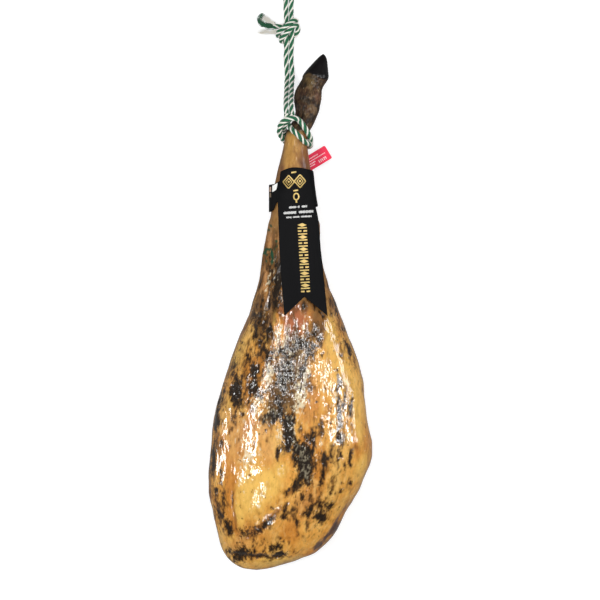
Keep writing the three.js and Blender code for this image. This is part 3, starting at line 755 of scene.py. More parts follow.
def build_ham():
    v, angle, p = ham_grid()
    n = grid_normals(p)
    vv = np.repeat(v[:, None], AROUND_N, 1)
    q = p / 1000.0
    u_seen, v_seen = unseen(p)
    upper = smooth(-0.12, 0.18, n[..., 2])
    side = 1 - np.abs(n[..., 2])
    body = smooth(270, 330, vv)
    shank = (1 - smooth(215, 290, vv)) * smooth(118, 135, vv)
    foot = 1 - smooth(116, 128, vv)
    under = smooth(-0.35, -0.8, n[..., 2])

    # -------------------------------------------------------------- patches
    warp_u = u_seen + 2.2 * fbm(q * 42.0, 3) + 1.3 * fbm(q * 130.0 + 5, 2)
    warp_v = v_seen + 3.4 * fbm(q * 38.0 + 31.0, 3) + 2.0 * fbm(q * 120.0 + 11, 2)
    s_broad = even(q, (24, 11, 24), 4, 0.55, 8.0)
    s_mid = even(q, (95, 40, 95), 4, 0.6, 3.0)
    s_fine = even(q, (270, 130, 270), 3, 0.6, 14.0)
    s_grain = even(q, (620, 420, 620), 2, 0.6, 41.0)
    worm = even(q, (330, 150, 330), 2, 0.5, 77.0)
    marks = strokes(warp_u, warp_v, DARK)
    zone = strokes(u_seen, v_seen, SPECKLED)
    bright = strokes(warp_u, warp_v, BRIGHT) * upper
    red = strokes(warp_u, warp_v, RED) * upper
    tan = strokes(warp_u, warp_v, TAN) * upper
    grey = strokes(warp_u, warp_v, GREY) * upper
    flecks_and_glints = strokes(warp_u, warp_v, FLECKS_AND_GLINTS) * upper
    purple = strokes(warp_u, warp_v, PURPLE) * upper
    ink = strokes(u_seen + 0.7 * fbm(q * 300.0, 2), v_seen + 0.7 * fbm(q * 300.0 + 3, 2), INK) * upper
    # the hidden sides carry the same kind of patches, placed by noise
    hidden = (1 - upper) * smooth(255, 320, vv)
    patch = smooth(0.35, 1.6, even(q, (17, 9, 17), 4, 0.55, 3.3))
    blotch = smooth(0.2, 1.2, even(q, (9, 6, 9), 3, 0.5, 13.3))
    # the left edge and the upper right edge are dark along their whole length
    from_left = u_seen - leg_left(v_seen)
    from_right = leg_right(v_seen) - u_seen
    rim_dark = smooth(9, 1, from_left + 2.0 * s_mid) * smooth(270, 300, v_seen) * (1 - smooth(515, 545, v_seen)) * 0.75
    rim_dark = np.maximum(rim_dark, smooth(9, 0, from_right + 2.0 * s_mid) * smooth(285, 300, v_seen) * (1 - smooth(360, 400, v_seen)) * 0.5)
    rim_dark = np.maximum(rim_dark, smooth(5, 0, from_right + 1.5 * s_mid) * smooth(470, 500, v_seen) * 0.45)
    zone = np.maximum(zone, rim_dark)
    marks = marks * upper + hidden * (patch * 0.9 + 0.25 * blotch)
    zone = zone * upper + hidden * blotch * 0.45
    bright = np.maximum(bright, hidden * smooth(0.5, 1.8, even(q, (12, 9, 12), 3, 0.5, 50.0)))
    grey = np.maximum(grey, hidden * smooth(1.0, 2.0, even(q, (14, 9, 14), 3, 0.5, 60.0)) * 0.8)

    live = smooth(225, 262, vv)
    calm = 1 - 0.8 * np.clip(bright * 1.1, 0, 1) * (1 - np.clip(marks * 1.4, 0, 1))
    base_dark = np.maximum(marks, zone * 0.66) * (0.35 + 0.65 * calm)
    crisp = base_dark + 0.15 * s_mid * calm + 0.17 * s_fine * calm + 0.07 * s_grain
    soft = base_dark + 0.20 * s_mid * calm + 0.06 * s_fine * calm
    core = (0.62 * smooth(0.56, 0.82, crisp) + 0.38 * smooth(0.42, 0.95, soft)) * live
    halo = np.maximum(marks * 1.15, zone * 1.15) + 0.26 * s_mid * calm + 0.12 * s_fine
    halo = smooth(0.15, 0.95, halo) * live * (0.25 + 0.75 * calm)
    fleck_and_glint = smooth(0.58, 0.95, flecks_and_glints * 1.0 + 0.22 * worm + 0.13 * s_grain) * (1 - 0.5 * core)

    # hoof: a horny shoe over the tip, its rim curved
    rim = 76.5 + 2.2 * np.sin(angle * 1.0 + 0.6) + 0.8 * perlin(q * 120.0)
    rim = rim - 4.0 * smooth(0.2, 0.9, np.sin(angle)) * smooth(-0.9, 0.6, -np.cos(angle))
    hoof = smooth(1.1, -0.6, vv - rim)

    # ------------------------------------------------ displacement in mm
    d = np.zeros_like(vv)
    # soft lumps and hollows of the whole leg
    d += body * 3.2 * fbm(q * np.array([13.0, 8.5, 13.0]) + 2.0, 3)
    # long folds of the skin, along the leg
    stretch = q * np.array([62.0, 13.0, 62.0])
    stretch = stretch + 0.7 * np.stack([perlin(q * 22.0), perlin(q * 22.0 + 7), perlin(q * 22.0 + 13)], -1)
    folds = ridged(stretch, 3)
    fold_area = body * (1 - 0.75 * np.clip(bright, 0, 1)) * (1 - under)
    d += fold_area * 0.55 * (folds - 0.4)
    d += fold_area * 0.05 * even(q, (150, 40, 150), 3, 0.5, 5.0) * (0.5 + 0.6 * (1 - bright))
    # crumpled, rough places where the mould sat
    d += body * core * 0.11 * even(q, (230, 200, 230), 3, 0.55, 6.0)
    d -= body * smooth(0.2, 1.0, marks) * 0.7 + body * core * 0.25
    # the wrinkled middle, wet and shining
    middle = np.clip(strokes(u_seen, v_seen, [(288, 378, 58, 24, 4, 1.0), (262, 395, 36, 20, 14, 0.9), (290, 430, 44, 16, -12, 0.9), (243, 446, 34, 16, 4, 0.75), (341, 412, 46, 16, 0, 0.7), (306, 468, 24, 12, 0, 0.9), (258, 494, 18, 12, 20, 0.4), (280, 332, 24, 14, 0, 0.8)]), 0, 1)
    crumple = ridged(q * np.array([240.0, 110.0, 240.0]) + 0.8 * perlin(q * 50.0)[..., None], 2)
    d += body * upper * middle * 0.15 * (crumple - 0.35)
    streaks = even(q, (250, 50, 250), 2, 0.5, 9.0)
    d += body * upper * (0.2 + 0.8 * middle) * (1 - 0.6 * bright) * 0.045 * streaks
    d += fleck_and_glint * 0.15
    # shallow valley where the lean meat starts under the shank, and a lip at its left
    d -= upper * 2.4 * strokes(u_seen, v_seen, [(292, 335, 34, 12, 6, 1.0)])
    d += upper * 2.2 * strokes(u_seen, v_seen, [(274, 326, 24, 4, 8, 1.0), (262, 300, 26, 4, 8, 0.5)])
    d -= upper * 2.2 * strokes(u_seen, v_seen, [(266, 318, 30, 3.4, 8, 1.0), (257, 318, 3.0, 12, 18, 0.6)])
    # the crease in which the smooth fat ends, low on the body
    crease = strokes(u_seen + 1.5 * perlin(q * 40.0), v_seen, [(262, 517, 30, 4.2, 52, 1.0), (234, 505, 24, 1.8, -6, 1.0), (257, 556.5, 2.0, 30, 2, 0.8), (333, 528, 22, 1.8, 33, 0.8)])
    d -= upper * 1.5 * crease
    d += upper * 1.6 * strokes(u_seen, v_seen, [(256, 492, 26, 14, 18, 1.0)])
    # holes and nicks
    pits = smooth(0.52, 0.74, perlin(q * np.array([85.0, 60.0, 85.0]) + 21.0))
    d -= body * upper * pits * 1.2 * (0.2 + smooth(0.2, 1.0, marks))
    # shank: tendon lines and a slight knobbly feel
    d += shank * 0.9 * fbm(q * np.array([70.0, 12.0, 70.0]), 2)
    d += shank * 0.22 * fbm(q * np.array([260.0, 90.0, 260.0]), 3)
    neck = smooth(200, 235, vv) * (1 - body)
    d += neck * 1.3 * (ridged(q * np.array([70.0, 16.0, 70.0]) + 3, 2) - 0.4)
    d += neck * 0.08 * even(q, (200, 90, 200), 3, 0.55, 15.0)
    # foot: loose leathery skin, with hair
    skin_foot = foot * (1 - hoof)
    d += skin_foot * 1.15 * (ridged(q * np.array([95.0, 55.0, 95.0]) + 4.4, 3) - 0.35)
    d += skin_foot * 0.35 * fbm(q * 330.0, 3)
    d += skin_foot * 0.10 * even(q, (420, 260, 420), 3, 0.6, 25.0)
    d += hoof * 0.9
    d += hoof * 0.14 * np.sin(vv * 2.3 + 1.2 * perlin(q * 40.0)) * smooth(56, 62, vv)
    # groove between the two toes, at the far side of the hoof
    groove = smooth(0.34, 0.0, np.abs(np.angle(np.exp(1j * (angle + 0.55)))))
    d -= groove * smooth(56, 64, vv) * (1 - smooth(84, 100, vv)) * 2.6
    # ends close cleanly
    end = smooth(52.5, 57, vv) * (1 - smooth(566.0, 570.5, vv))
    d *= 0.25 + 0.75 * end
    # the flat underside stays flat and on the table
    flat = smooth(6.0, 0.4, p[..., 2])
    d = np.where(n[..., 2] < 0, d * (1 - flat), d)
    p = p + n * d[..., None]
    p[..., 2] = np.maximum(p[..., 2], 0.0)

    cavity = d - (np.roll(d, 3, 0) + np.roll(d, -3, 0) + np.roll(d, 3, 1) + np.roll(d, -3, 1)) / 4

    # ------------------------------------------------------------- colours
    def c(r, g, b):
        return np.array(srgb(r, g, b)[:3])

    def lay(base, colour, weight):
        w = np.clip(weight, 0, 1)[..., None]
        return base * (1 - w) + colour * w

    across = (u_seen - leg_left(v_seen)) / np.maximum(leg_right(v_seen) - leg_left(v_seen), 1)
    colour = np.zeros(p.shape) + c(228, 166, 80)
    colour = lay(colour, c(208, 138, 58), smooth(-0.2, 1.6, s_broad))
    colour = lay(colour, c(238, 190, 108), smooth(0.0, 1.8, -s_broad + 0.5 * s_mid) * 0.8)
    colour = lay(colour, c(214, 162, 108), tan * 0.75)
    colour = lay(colour, c(240, 196, 104), smooth(0.2, 0.9, bright) * 0.85)
    colour = lay(colour, c(250, 196, 104), upper * smooth(0.72, 0.88, across) * smooth(330, 350, v_seen) * (1 - smooth(400, 450, v_seen)) * 0.6)
    colour = lay(colour, c(176, 108, 44), smooth(0.6, 2.2, s_mid) * 0.55 * calm)
    colour = lay(colour, c(238, 200, 128), smooth(0.8, 2.4, -s_mid + 0.4 * s_fine) * 0.45)
    colour = lay(colour, c(176, 102, 70), smooth(0.25, 0.85, red + 0.08 * s_mid) * 0.95)
    colour = lay(colour, c(118, 66, 44), smooth(0.4, 1.0, red) * smooth(-0.3, 1.2, s_mid + 0.7 * s_fine) * 0.8)
    # painted shade: a dark brown line along the crease where the smooth fat ends
    colour = lay(colour, c(150, 96, 46), smooth(0.2, 0.8, strokes(warp_u, warp_v, [(265, 522, 28, 4.0, 50, 1.0), (293, 490, 10, 3.0, 44, 0.9), (236, 520, 14, 2.0, -8, 0.7)]) * upper) * 0.85)
    colour = lay(colour, c(192, 128, 58), smooth(0.2, 0.8, strokes(warp_u, warp_v, [(284, 522, 34, 12, 50, 1.0)]) * upper) * 0.3)
    # edges of the body, where the surface turns to the side: painted shade, a little darker and redder, less so on the
    # upper right
    colour = lay(colour, c(200, 130, 66), smooth(0.55, 0.95, side) * 0.4 * body * (1 - 0.8 * upper * smooth(0.5, 0.8, across)))
    # underside: duller
    colour = lay(colour, c(184, 124, 60), under * 0.5 * body)
    # neck between shank and body
    neck_fade = 1 - smooth(262, 330, vv)
    colour = lay(colour, c(132, 92, 56), neck_fade * 0.88)
    colour = lay(colour, c(64, 46, 32), neck_fade * smooth(205, 240, vv) * smooth(-0.7, 0.9, s_mid + 0.4 * s_broad) * 0.8)
    colour = lay(colour, c(188, 140, 92), neck_fade * smooth(0.3, 1.6, -s_mid + 0.5 * s_fine) * 0.6)
    olive = strokes(warp_u, warp_v, [(278.5, 279, 26, 6.5, 3, 1.0), (272, 304, 22, 8, 8, 1.0), (262, 318, 24, 7, 10, 1.0), (258, 304, 14, 4, 14, 0.8), (269, 336, 12, 5, 4, 0.8)]) * upper
    colour = lay(colour, c(58, 50, 38), smooth(0.25, 0.85, olive + 0.1 * s_mid) * 0.85)
    colour = lay(colour, c(204, 150, 100), strokes(warp_u, warp_v, [(266, 282, 16, 2.4, 10, 1.0), (269, 240, 14, 4, 4, 0.9), (269.5, 318, 10, 2.4, 8, 0.8)]) * upper * 0.85)
    # brown skin below the label's lower end, with a painted shadow of the label
    colour = lay(colour, c(110, 76, 46), smooth(0.2, 0.8, strokes(warp_u, warp_v, [(305, 306, 9, 5, 16, 0.9), (313, 304, 12, 5, -42, 1.0), (321, 313, 10, 5, -30, 0.9), (318, 326, 18, 6.5, -8, 1.0)]) * upper) * 0.8)
    # the grey wet middle
    grey_w = smooth(0.25, 0.85, grey + 0.08 * s_mid)
    colour = lay(colour, c(78, 64, 48), grey_w * 0.9)
    colour = lay(colour, c(48, 40, 32), grey_w * smooth(-0.4, 1.1, s_fine + 0.6 * s_mid) * 0.85)
    # shank: dry tan skin, brown along the tendons; painted shade makes it darker and redder towards its sides and
    # underneath
    shank_w = 1 - smooth(205, 240, vv)
    colour = lay(colour, c(186, 142, 84), shank_w)
    colour = lay(colour, c(206, 164, 104), shank_w * smooth(0.0, 1.8, s_broad + 0.5 * s_mid) * 0.7)
    colour = lay(colour, c(142, 96, 54), shank_w * smooth(0.3, 1.8, -s_broad + 0.7 * s_mid) * 0.75)
    sides = np.maximum(smooth(0.30, 0.02, across), smooth(0.66, 1.0, across))
    # painted shade: darker and redder towards the shank's sides and on its underside
    colour = lay(colour, c(112, 74, 46), shank_w * np.maximum(sides * upper, (1 - upper) * 0.7) * (0.62 + 0.12 * s_mid))
    colour = lay(colour, c(104, 70, 46), shank_w * smooth(1.1, 2.4, s_mid + 0.6 * s_fine) * (0.15 + 0.6 * smooth(0.35, 0.8, across)))
    colour = lay(colour, c(150, 98, 62), shank_w * upper * smooth(0.48, 0.86, across + 0.05 * s_mid) * 0.6)
    # painted highlight: lighter yellow down the middle of the shank
    colour = lay(colour, c(198, 152, 82), shank_w * strokes(warp_u, warp_v, [(290.5, 140, 14, 6.5, 6, 1.0), (289, 158, 12, 7, 6, 0.7)]) * upper * 0.7)
    colour = lay(colour, c(112, 72, 58), shank_w * strokes(warp_u, warp_v, [(303, 164, 8, 3.6, -14, 0.95), (281, 172, 10, 2.4, 6, 0.7), (300, 140, 6, 3, 10, 0.5)]) * upper)
    # foot: brown and mottled; its dark brown runs on under the rope's hitch as painted shade
    f1 = even(q, (150, 110, 150), 4, 0.55, 2.0)
    f2 = even(q, (60, 45, 60), 3, 0.55, 12.0)
    # the foot's dark skin, carried on under the rope's hitch as painted shade
    foot_and_hitch_shade = 1 - smooth(130, 137, vv + 3 * perlin(q * 60.0))
    brown = np.zeros(p.shape) + c(62, 49, 37)
    brown = lay(brown, c(38, 31, 26), smooth(-0.3, 1.2, f1))
    brown = lay(brown, c(116, 92, 66), smooth(0.4, 1.8, -f1 + 0.6 * f2) * 0.75)
    brown = lay(brown, c(86, 54, 40), smooth(0.3, 1.6, f2) * 0.5)
    f3 = even(q, (430, 300, 430), 3, 0.6, 35.0)
    brown = lay(brown, c(124, 100, 74), smooth(0.5, 2.0, f3 - 0.3 * f1) * 0.5)
    brown = lay(brown, c(28, 22, 18), smooth(0.4, 1.8, -f3) * 0.5)
    colour = lay(colour, brown, foot_and_hitch_shade)
    colour = lay(colour, c(132, 108, 66), strokes(warp_u, warp_v, [(307.5, 75.5, 5, 3.4, 20, 1.0), (311, 82, 7, 3, 20, 0.6)]) * upper * foot_and_hitch_shade * 0.75)
    colour = lay(colour, c(150, 106, 88), strokes(warp_u, warp_v, [(317, 97, 5, 2.6, 6, 0.8)]) * upper * foot_and_hitch_shade * 0.55)
    colour = lay(colour, c(128, 102, 74), strokes(warp_u, warp_v, [(313, 108, 13, 5, 14, 0.9), (317.5, 92, 9, 3, 4, 0.5)]) * smooth(-0.6, 0.9, -f1) * upper * foot_and_hitch_shade * 0.5)
    colour = lay(colour, c(30, 24, 20), strokes(warp_u, warp_v, [(298, 98, 16, 3.2, 2, 1.0), (303, 84, 12, 3, 18, 0.8), (300, 112, 9, 4, -20, 0.8)]) * upper * foot_and_hitch_shade * 0.6)

    # brown halo, then black cores
    colour = lay(colour, c(136, 92, 42), halo * 0.66)
    colour = lay(colour, c(84, 58, 32), halo * halo * smooth(-0.6, 1.2, s_fine + 0.6 * s_mid) * 0.72)
    coal = np.zeros(p.shape) + c(26, 20, 14)
    coal = lay(coal, c(54, 44, 33), smooth(0.4, 1.8, s_grain + 0.5 * worm) * 0.7)
    coal = lay(coal, c(70, 66, 60), grey_w * smooth(0.6, 1.8, s_grain) * 0.5)
    colour = lay(colour, coal, core * 0.95)
    # pale specks of fat and salt, partly painted highlights on the wet skin
    colour = lay(colour, c(240, 228, 200), fleck_and_glint * 0.8)

    colour = lay(colour, c(24, 22, 24), hoof)
    colour = lay(colour, c(52, 46, 42), smooth(3.5, -1.0, np.abs(vv - rim - 2.5)) * (1 - hoof) * foot_and_hitch_shade * 0.8)
    colour = lay(colour, c(74, 60, 62), smooth(0.3, 0.85, purple + 0.08 * s_mid) * 0.9)
    colour = lay(colour, c(12, 74, 54), smooth(0.25, 0.8, ink) * 0.92)
    # warmer and a little deeper all over, as cured fat is
    colour = colour * np.array([0.94, 0.92, 0.84])
    # darker and browner in the hollows of the relief
    colour = lay(colour, c(104, 66, 28), smooth(0.10, 0.8, -cavity) * 0.4 * (1 - hoof) * (1 - fleck_and_glint))

    flat_points = p.reshape(-1, 3)
    count = len(flat_points)
    points = np.concatenate([flat_points, [p[0].mean(0)], [p[-1].mean(0)]])
    points[-2][1] += 0.35
    points[-1][1] -= 0.35
    quads = ring_faces(len(v), AROUND_N)
    data_faces = quads
    # close both ends with fans of triangles
    j = np.arange(AROUND_N)
    first = np.stack([np.full(AROUND_N, count), (j + 1) % AROUND_N, j], -1)
    last0 = (len(v) - 1) * AROUND_N
    last = np.stack([np.full(AROUND_N, count + 1), last0 + j, last0 + (j + 1) % AROUND_N], -1)
    tris = np.concatenate([first, last])
    return points, data_faces, tris, dict(
        colour=colour, core=core, fleck_and_glint=fleck_and_glint, foot=foot_and_hitch_shade * (1 - hoof), hoof=hoof,
        wet=np.clip(middle, 0, 1) * upper * (1 - 0.5 * bright), body=body, marks=np.clip(np.maximum(marks, 0.6 * zone), 0, 1.2),
    )


def ham_material():
    m = Nodes("cured_skin")
    co = m.add("ShaderNodeTexCoord").outputs["Object"]
    base = m.attribute("skin_colour").outputs["Color"]
    marks = m.attribute("skin_marks").outputs["Fac"]
    core = m.attribute("skin_core").outputs["Fac"]
    fleck_and_glint = m.attribute("skin_fleck_and_glint").outputs["Fac"]
    foot = m.attribute("skin_foot").outputs["Fac"]
    hoof = m.attribute("skin_hoof").outputs["Fac"]
    wet = m.attribute("skin_wet").outputs["Fac"]
    body = m.attribute("skin_body").outputs["Fac"]

    # fine mottling of the fat
    stretched = m.mapping(co, (1.0, 0.45, 1.0))
    n_fine = m.noise(stretched, 190.0, 5.0, 0.62)
    n_mid = m.noise(stretched, 60.0, 5.0, 0.6, 0.4)
    n_small = m.noise(co, 620.0, 4.0, 0.62)
    shade = m.ramp(n_fine, [(0.32, (0.72, 0.66, 0.58, 1)), (0.5, (1, 1, 1, 1)), (0.68, (1.12, 1.12, 1.1, 1))])
    colour = m.mix(0.75, base, shade, "MULTIPLY")
    # fine black grain round and inside the patches
    grain = m.noise(m.mapping(co, (1.0, 0.6, 1.0)), 420.0, 4.0, 0.65, 0.3)
    dots = m.math("ADD", m.math("MULTIPLY", grain, 2.6), m.math("MULTIPLY", marks, 0.62))
    dots = m.step(dots, 1.72, 1.98)
    dots = m.math("MULTIPLY", dots, m.math("SUBTRACT", 1.0, fleck_and_glint, True))
    black = m.ramp(n_small, [(0.35, srgb(20, 15, 11)), (0.62, srgb(48, 38, 28))])
    colour = m.mix(m.math("MULTIPLY", dots, 0.82), colour, black)
    # scattered small specks on the body
    speck_n = m.noise(m.mapping(co, (1.0, 0.7, 1.0)), 150.0, 3.0, 0.5)
    specks = m.math("MULTIPLY", m.step(speck_n, 0.66, 0.72), body)
    colour = m.mix(m.math("MULTIPLY", specks, 0.7), colour, srgb(84, 56, 28))
    # hair and mottling of the foot
    hair = m.noise(m.mapping(co, (900.0, 160.0, 900.0)), 1.0, 3.0, 0.6)
    hair = m.math("MULTIPLY", m.step(hair, 0.5, 0.68), foot)
    colour = m.mix(m.math("MULTIPLY", hair, 0.6), colour, srgb(38, 30, 24))
    m.to(colour, "Base Color")

    # gloss: oily fat, rougher mould, dull foot, horny shoe
    r = m.ramp(n_mid, [(0.3, 0.34), (0.7, 0.52)])
    r = m.mix(core, r, (0.38, 0.38, 0.38, 1))
    r = m.mix(foot, r, (0.55, 0.55, 0.55, 1))
    r = m.mix(hoof, r, (0.36, 0.36, 0.36, 1))
    m.to(r, "Roughness")
    dull = m.math("MAXIMUM", m.math("MAXIMUM", m.math("MULTIPLY", foot, 0.85), m.math("MULTIPLY", hoof, 0.6)), m.math("MULTIPLY", m.math("SUBTRACT", 1.0, body), 0.8))
    coat = m.math("SUBTRACT", 1.0, m.math("MULTIPLY", dull, 0.95))
    m.to(coat, "Coat Weight")
    m.bsdf.inputs["Coat Roughness"].default_value = 0.05
    m.bsdf.inputs["Coat IOR"].default_value = 1.6
    m.bsdf.inputs["Specular IOR Level"].default_value = 0.1

    # small wrinkles
    wrinkle = m.noise(m.mapping(co, (1.0, 0.36, 1.0)), 170.0, 2.0, 0.5, 0.6)
    spark = m.noise(m.mapping(co, (1.0, 0.55, 1.0)), 260.0, 1.5, 0.5, 0.4)
    h = m.math("MULTIPLY", wrinkle, m.math("ADD", m.math("MULTIPLY", body, 0.8), 0.15))
    h = m.math("ADD", h, m.math("MULTIPLY", spark, m.math("MULTIPLY", wet, 0.9)))
    h = m.math("ADD", h, m.math("MULTIPLY", spark, m.math("MULTIPLY", core, 0.9)))
    h = m.math("ADD", h, m.math("MULTIPLY", hair, 0.5))
    normal = m.bump(h, 0.5, 0.0008)
    m.to(normal, "Normal")
    m.to(normal, "Coat Normal")
    return m.material


points, quads, tris, masks = build_ham()
ham_mat = ham_material()
data = bpy.data.meshes.new("ham_skin")
loops = np.concatenate([quads.ravel(), tris.ravel()]).astype(np.int32)
starts = np.concatenate([np.arange(len(quads)) * 4, len(quads) * 4 + np.arange(len(tris)) * 3])
totals = np.concatenate([np.full(len(quads), 4), np.full(len(tris), 3)])
data.vertices.add(len(points))
data.vertices.foreach_set("co", (points / 1000.0).astype(np.float32).ravel())
data.loops.add(len(loops))
data.loops.foreach_set("vertex_index", loops)
data.polygons.add(len(starts))
data.polygons.foreach_set("loop_start", starts.astype(np.int32))
data.polygons.foreach_set("loop_total", totals.astype(np.int32))
data.update(calc_edges=True)
data.polygons.foreach_set("use_smooth", np.ones(len(data.polygons), bool))
ham = bpy.data.objects.new("ham_skin", data)
bpy.context.scene.collection.objects.link(ham)
data.materials.append(ham_mat)
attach(ham, "root")
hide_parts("ham")


def padded_mask(a):
    a = a.reshape(-1, *a.shape[2:])
    return np.concatenate([a, a[:1], a[-1:]])


paint(ham, "skin_colour", padded_mask(masks["colour"]))
for key in ("marks", "core", "fleck_and_glint", "foot", "hoof", "wet", "body"):
    paint(ham, "skin_" + key, padded_mask(masks[key]))

# ----------------------------------------------------------------------- cord
CORD_D = 8.0


def cord_material(name, colour, shade):
    m = Nodes(name)
    along = m.attribute("fibre_along").outputs["Fac"]
    around = m.attribute("fibre_around").outputs["Fac"]
    twist = m.math("ADD", m.math("MULTIPLY", around, 7.0), m.math("MULTIPLY", along, -1.1))
    line = m.math("SINE", m.math("MULTIPLY", twist, 1.0))
    line = m.step(line, -0.9, 0.9)
    co = m.add("ShaderNodeTexCoord").outputs["Object"]
    n = m.noise(co, 900.0, 3.0, 0.6)
    tint = m.mix(line, shade, colour)
    tint = m.mix(m.math("MULTIPLY", n, 0.35), tint, shade)
    m.to(tint, "Base Color")
    m.bsdf.inputs["Roughness"].default_value = 0.62
    m.bsdf.inputs["Specular IOR Level"].default_value = 0.35
    m.bsdf.inputs["Sheen Weight"].default_value = 0.25
    m.bsdf.inputs["Sheen Roughness"].default_value = 0.5
    h = m.math("ADD", m.math("MULTIPLY", line, 0.8), m.math("MULTIPLY", n, 0.6))
    m.to(m.bump(h, 0.6, 0.0004), "Normal")
    return m.material


green_mat = cord_material("cord_green", srgb(18, 126, 78), srgb(6, 68, 42))
white_mat = cord_material("cord_white", srgb(255, 254, 248), srgb(244, 238, 224))


def spline(points, step=1.2):
    """A smooth line through points (centripetal Catmull-Rom), at an even step in mm."""
    p = np.asarray(points, float)
    p = np.concatenate([[2 * p[0] - p[1]], p, [2 * p[-1] - p[-2]]])
    out = []
    for i in range(1, len(p) - 2):
        a, b, c, d = p[i - 1], p[i], p[i + 1], p[i + 2]
        t0 = 0.0
        t1 = t0 + max(np.linalg.norm(b - a), 1e-6) ** 0.5
        t2 = t1 + max(np.linalg.norm(c - b), 1e-6) ** 0.5
        t3 = t2 + max(np.linalg.norm(d - c), 1e-6) ** 0.5
        t = np.linspace(t1, t2, 40, endpoint=False)[:, None]
        a1 = (t1 - t) / (t1 - t0) * a + (t - t0) / (t1 - t0) * b
        a2 = (t2 - t) / (t2 - t1) * b + (t - t1) / (t2 - t1) * c
        a3 = (t3 - t) / (t3 - t2) * c + (t - t2) / (t3 - t2) * d
        b1 = (t2 - t) / (t2 - t0) * a1 + (t - t0) / (t2 - t0) * a2
        b2 = (t3 - t) / (t3 - t1) * a2 + (t - t1) / (t3 - t1) * a3
        out.append((t2 - t) / (t2 - t1) * b1 + (t - t1) / (t2 - t1) * b2)
    line = np.concatenate([*out, p[-2][None]])
    s = np.concatenate([[0], np.cumsum(np.linalg.norm(np.diff(line, axis=0), axis=1))])
    n = max(int(round(s[-1] / step)), 2)
    at = np.linspace(0, s[-1], n + 1)
    return np.stack([np.interp(at, s, line[:, k]) for k in range(3)], -1)


def frames(line):
    """Tangent and two sideways directions that don't twist along a line."""
    t = np.gradient(line, axis=0)
    t /= np.maximum(np.linalg.norm(t, axis=1, keepdims=True), 1e-9)
    a = np.empty_like(t)
    start = np.array([0.0, 0, 1.0]) if abs(t[0][2]) < 0.9 else np.array([1.0, 0, 0])
    a[0] = start - t[0] * (start @ t[0])
    a[0] /= np.linalg.norm(a[0])
    for i in range(1, len(line)):
        w = a[i - 1] - t[i] * (a[i - 1] @ t[i])
        a[i] = w / max(np.linalg.norm(w), 1e-9)
    return t, a, np.cross(t, a)


def swept(line, radius, sides=8, capped=True):
    """Tube points and faces round a line; radius may differ along it."""
    t, a, b = frames(line)
    th = np.arange(sides) / sides * 2 * math.pi
    r = np.broadcast_to(np.asarray(radius, float), (len(line),))[:, None, None]
    ring = line[:, None] + r * (a[:, None] * np.cos(th)[None, :, None] + b[:, None] * np.sin(th)[None, :, None])
    s = np.concatenate([[0], np.cumsum(np.linalg.norm(np.diff(line, axis=0), axis=1))])
    pts = ring.reshape(-1, 3)
    faces = ring_faces(len(line), sides).tolist()
    if capped:
        last = (len(line) - 1) * sides
        faces.append(list(range(sides))[::-1])
        faces.append([last + k for k in range(sides)])
    along = np.repeat(s, sides)
    around = np.tile(th, len(line))
    return pts, faces, along, around


LAY = 26.0  # length of one full turn of a strand, in mm


def strands(line, diameter=CORD_D, phase=0.0, lay=LAY):
    """The strands of the cord round its middle line: two thick green ones, two thin white ones between them."""
    t, a, b = frames(line)
    s = np.concatenate([[0], np.cumsum(np.linalg.norm(np.diff(line, axis=0), axis=1))])
    out = []
    for k in range(4):
        green = k % 2 == 0
        r = diameter * (0.30 if green else 0.158)
        off = diameter / 2 - r - 0.05
        angle = phase + 2 * math.pi * s / lay + k * math.pi / 2
        own = line + off * (a * np.cos(angle)[:, None] + b * np.sin(angle)[:, None])
        out.append((green, own, r))
    return out


def cord_object(name, parts, path=None):
    """One mesh of several swept lines: (green?, line, radius)."""
    pts, faces, along, around, which = [], [], [], [], []
    start = 0
    for green, line, radius in parts:
        p, f, al, ar = swept(line, radius, 8)
        pts.append(p)
        faces += [[i + start for i in face] for face in f]
        which += [0 if green else 1] * len(f)
        along.append(al)
        around.append(ar)
        start += len(p)
    pts = np.concatenate(pts)
    pts[:, 2] = np.maximum(pts[:, 2], 0.02)
    obj = mesh(name, pts, faces, green_mat)
    obj.data.materials.append(white_mat)
    obj.data.polygons.foreach_set("material_index", np.array(which, np.int32))
    paint(obj, "fibre_along", np.concatenate(along))
    paint(obj, "fibre_around", np.concatenate(around))
    return obj


CORD_A = [
    (286.9, 114.2, 74.7), (286.2, 110, 71.1), (286, 104, 61.2), (286.2, 97, 45), (286.6, 90, 27.9),
    (286.8, 83, 15), (287.2, 76, 6.2), (286.6, 68, 4.1), (286.0, 58, 4.1), (286.3, 50, 4.6),
    (286.3, 44.5, 9), (286.5, 40, 12), (286.6, 31, 12.3), (286.4, 21, 12), (286.2, 16.5, 9),
    (286, 11, 4.8), (285.8, 3, 4.1), (285.2, -8, 4.1), (283.4, -20, 4.1), (282.2, -31, 4.1),
    (282.8, -41, 4.1), (285.4, -48, 4.1),
]
CORD_TOP = [(289.2, -50.6, 4.1)]
CORD_B = [
    (293, -48, 4.1), (295.7, -41, 4.1), (296.4, -31, 4.1), (295, -20, 4.1), (292.7, -8, 4.1),
    (291.3, 3, 4.1), (291.2, 11, 4.8), (291.4, 16.5, 9), (291.6, 21, 12), (291.8, 31, 12.3),
    (291.7, 40, 12), (291.5, 44.5, 9), (291.4, 50, 4.6), (291.2, 58, 4.1), (291.8, 68, 4.1),
    (292.4, 76, 6.2), (291.9, 83, 15), (291.6, 90, 27.9), (291.3, 97, 45), (291.2, 104, 61.2),
    (291.5, 110, 71.1), (292.1, 114.2, 74.7),
]
main_line = spline(seen(*np.array(CORD_A + CORD_TOP + CORD_B).T))
main_parts = strands(main_line, phase=0.4, lay=31.0)
hanging = cord_object("hanging_cord", main_parts)
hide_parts("hanging_rope")

# The hitch: both turns round the shank and the bight over the two legs, as one line.
R = CORD_D / 2


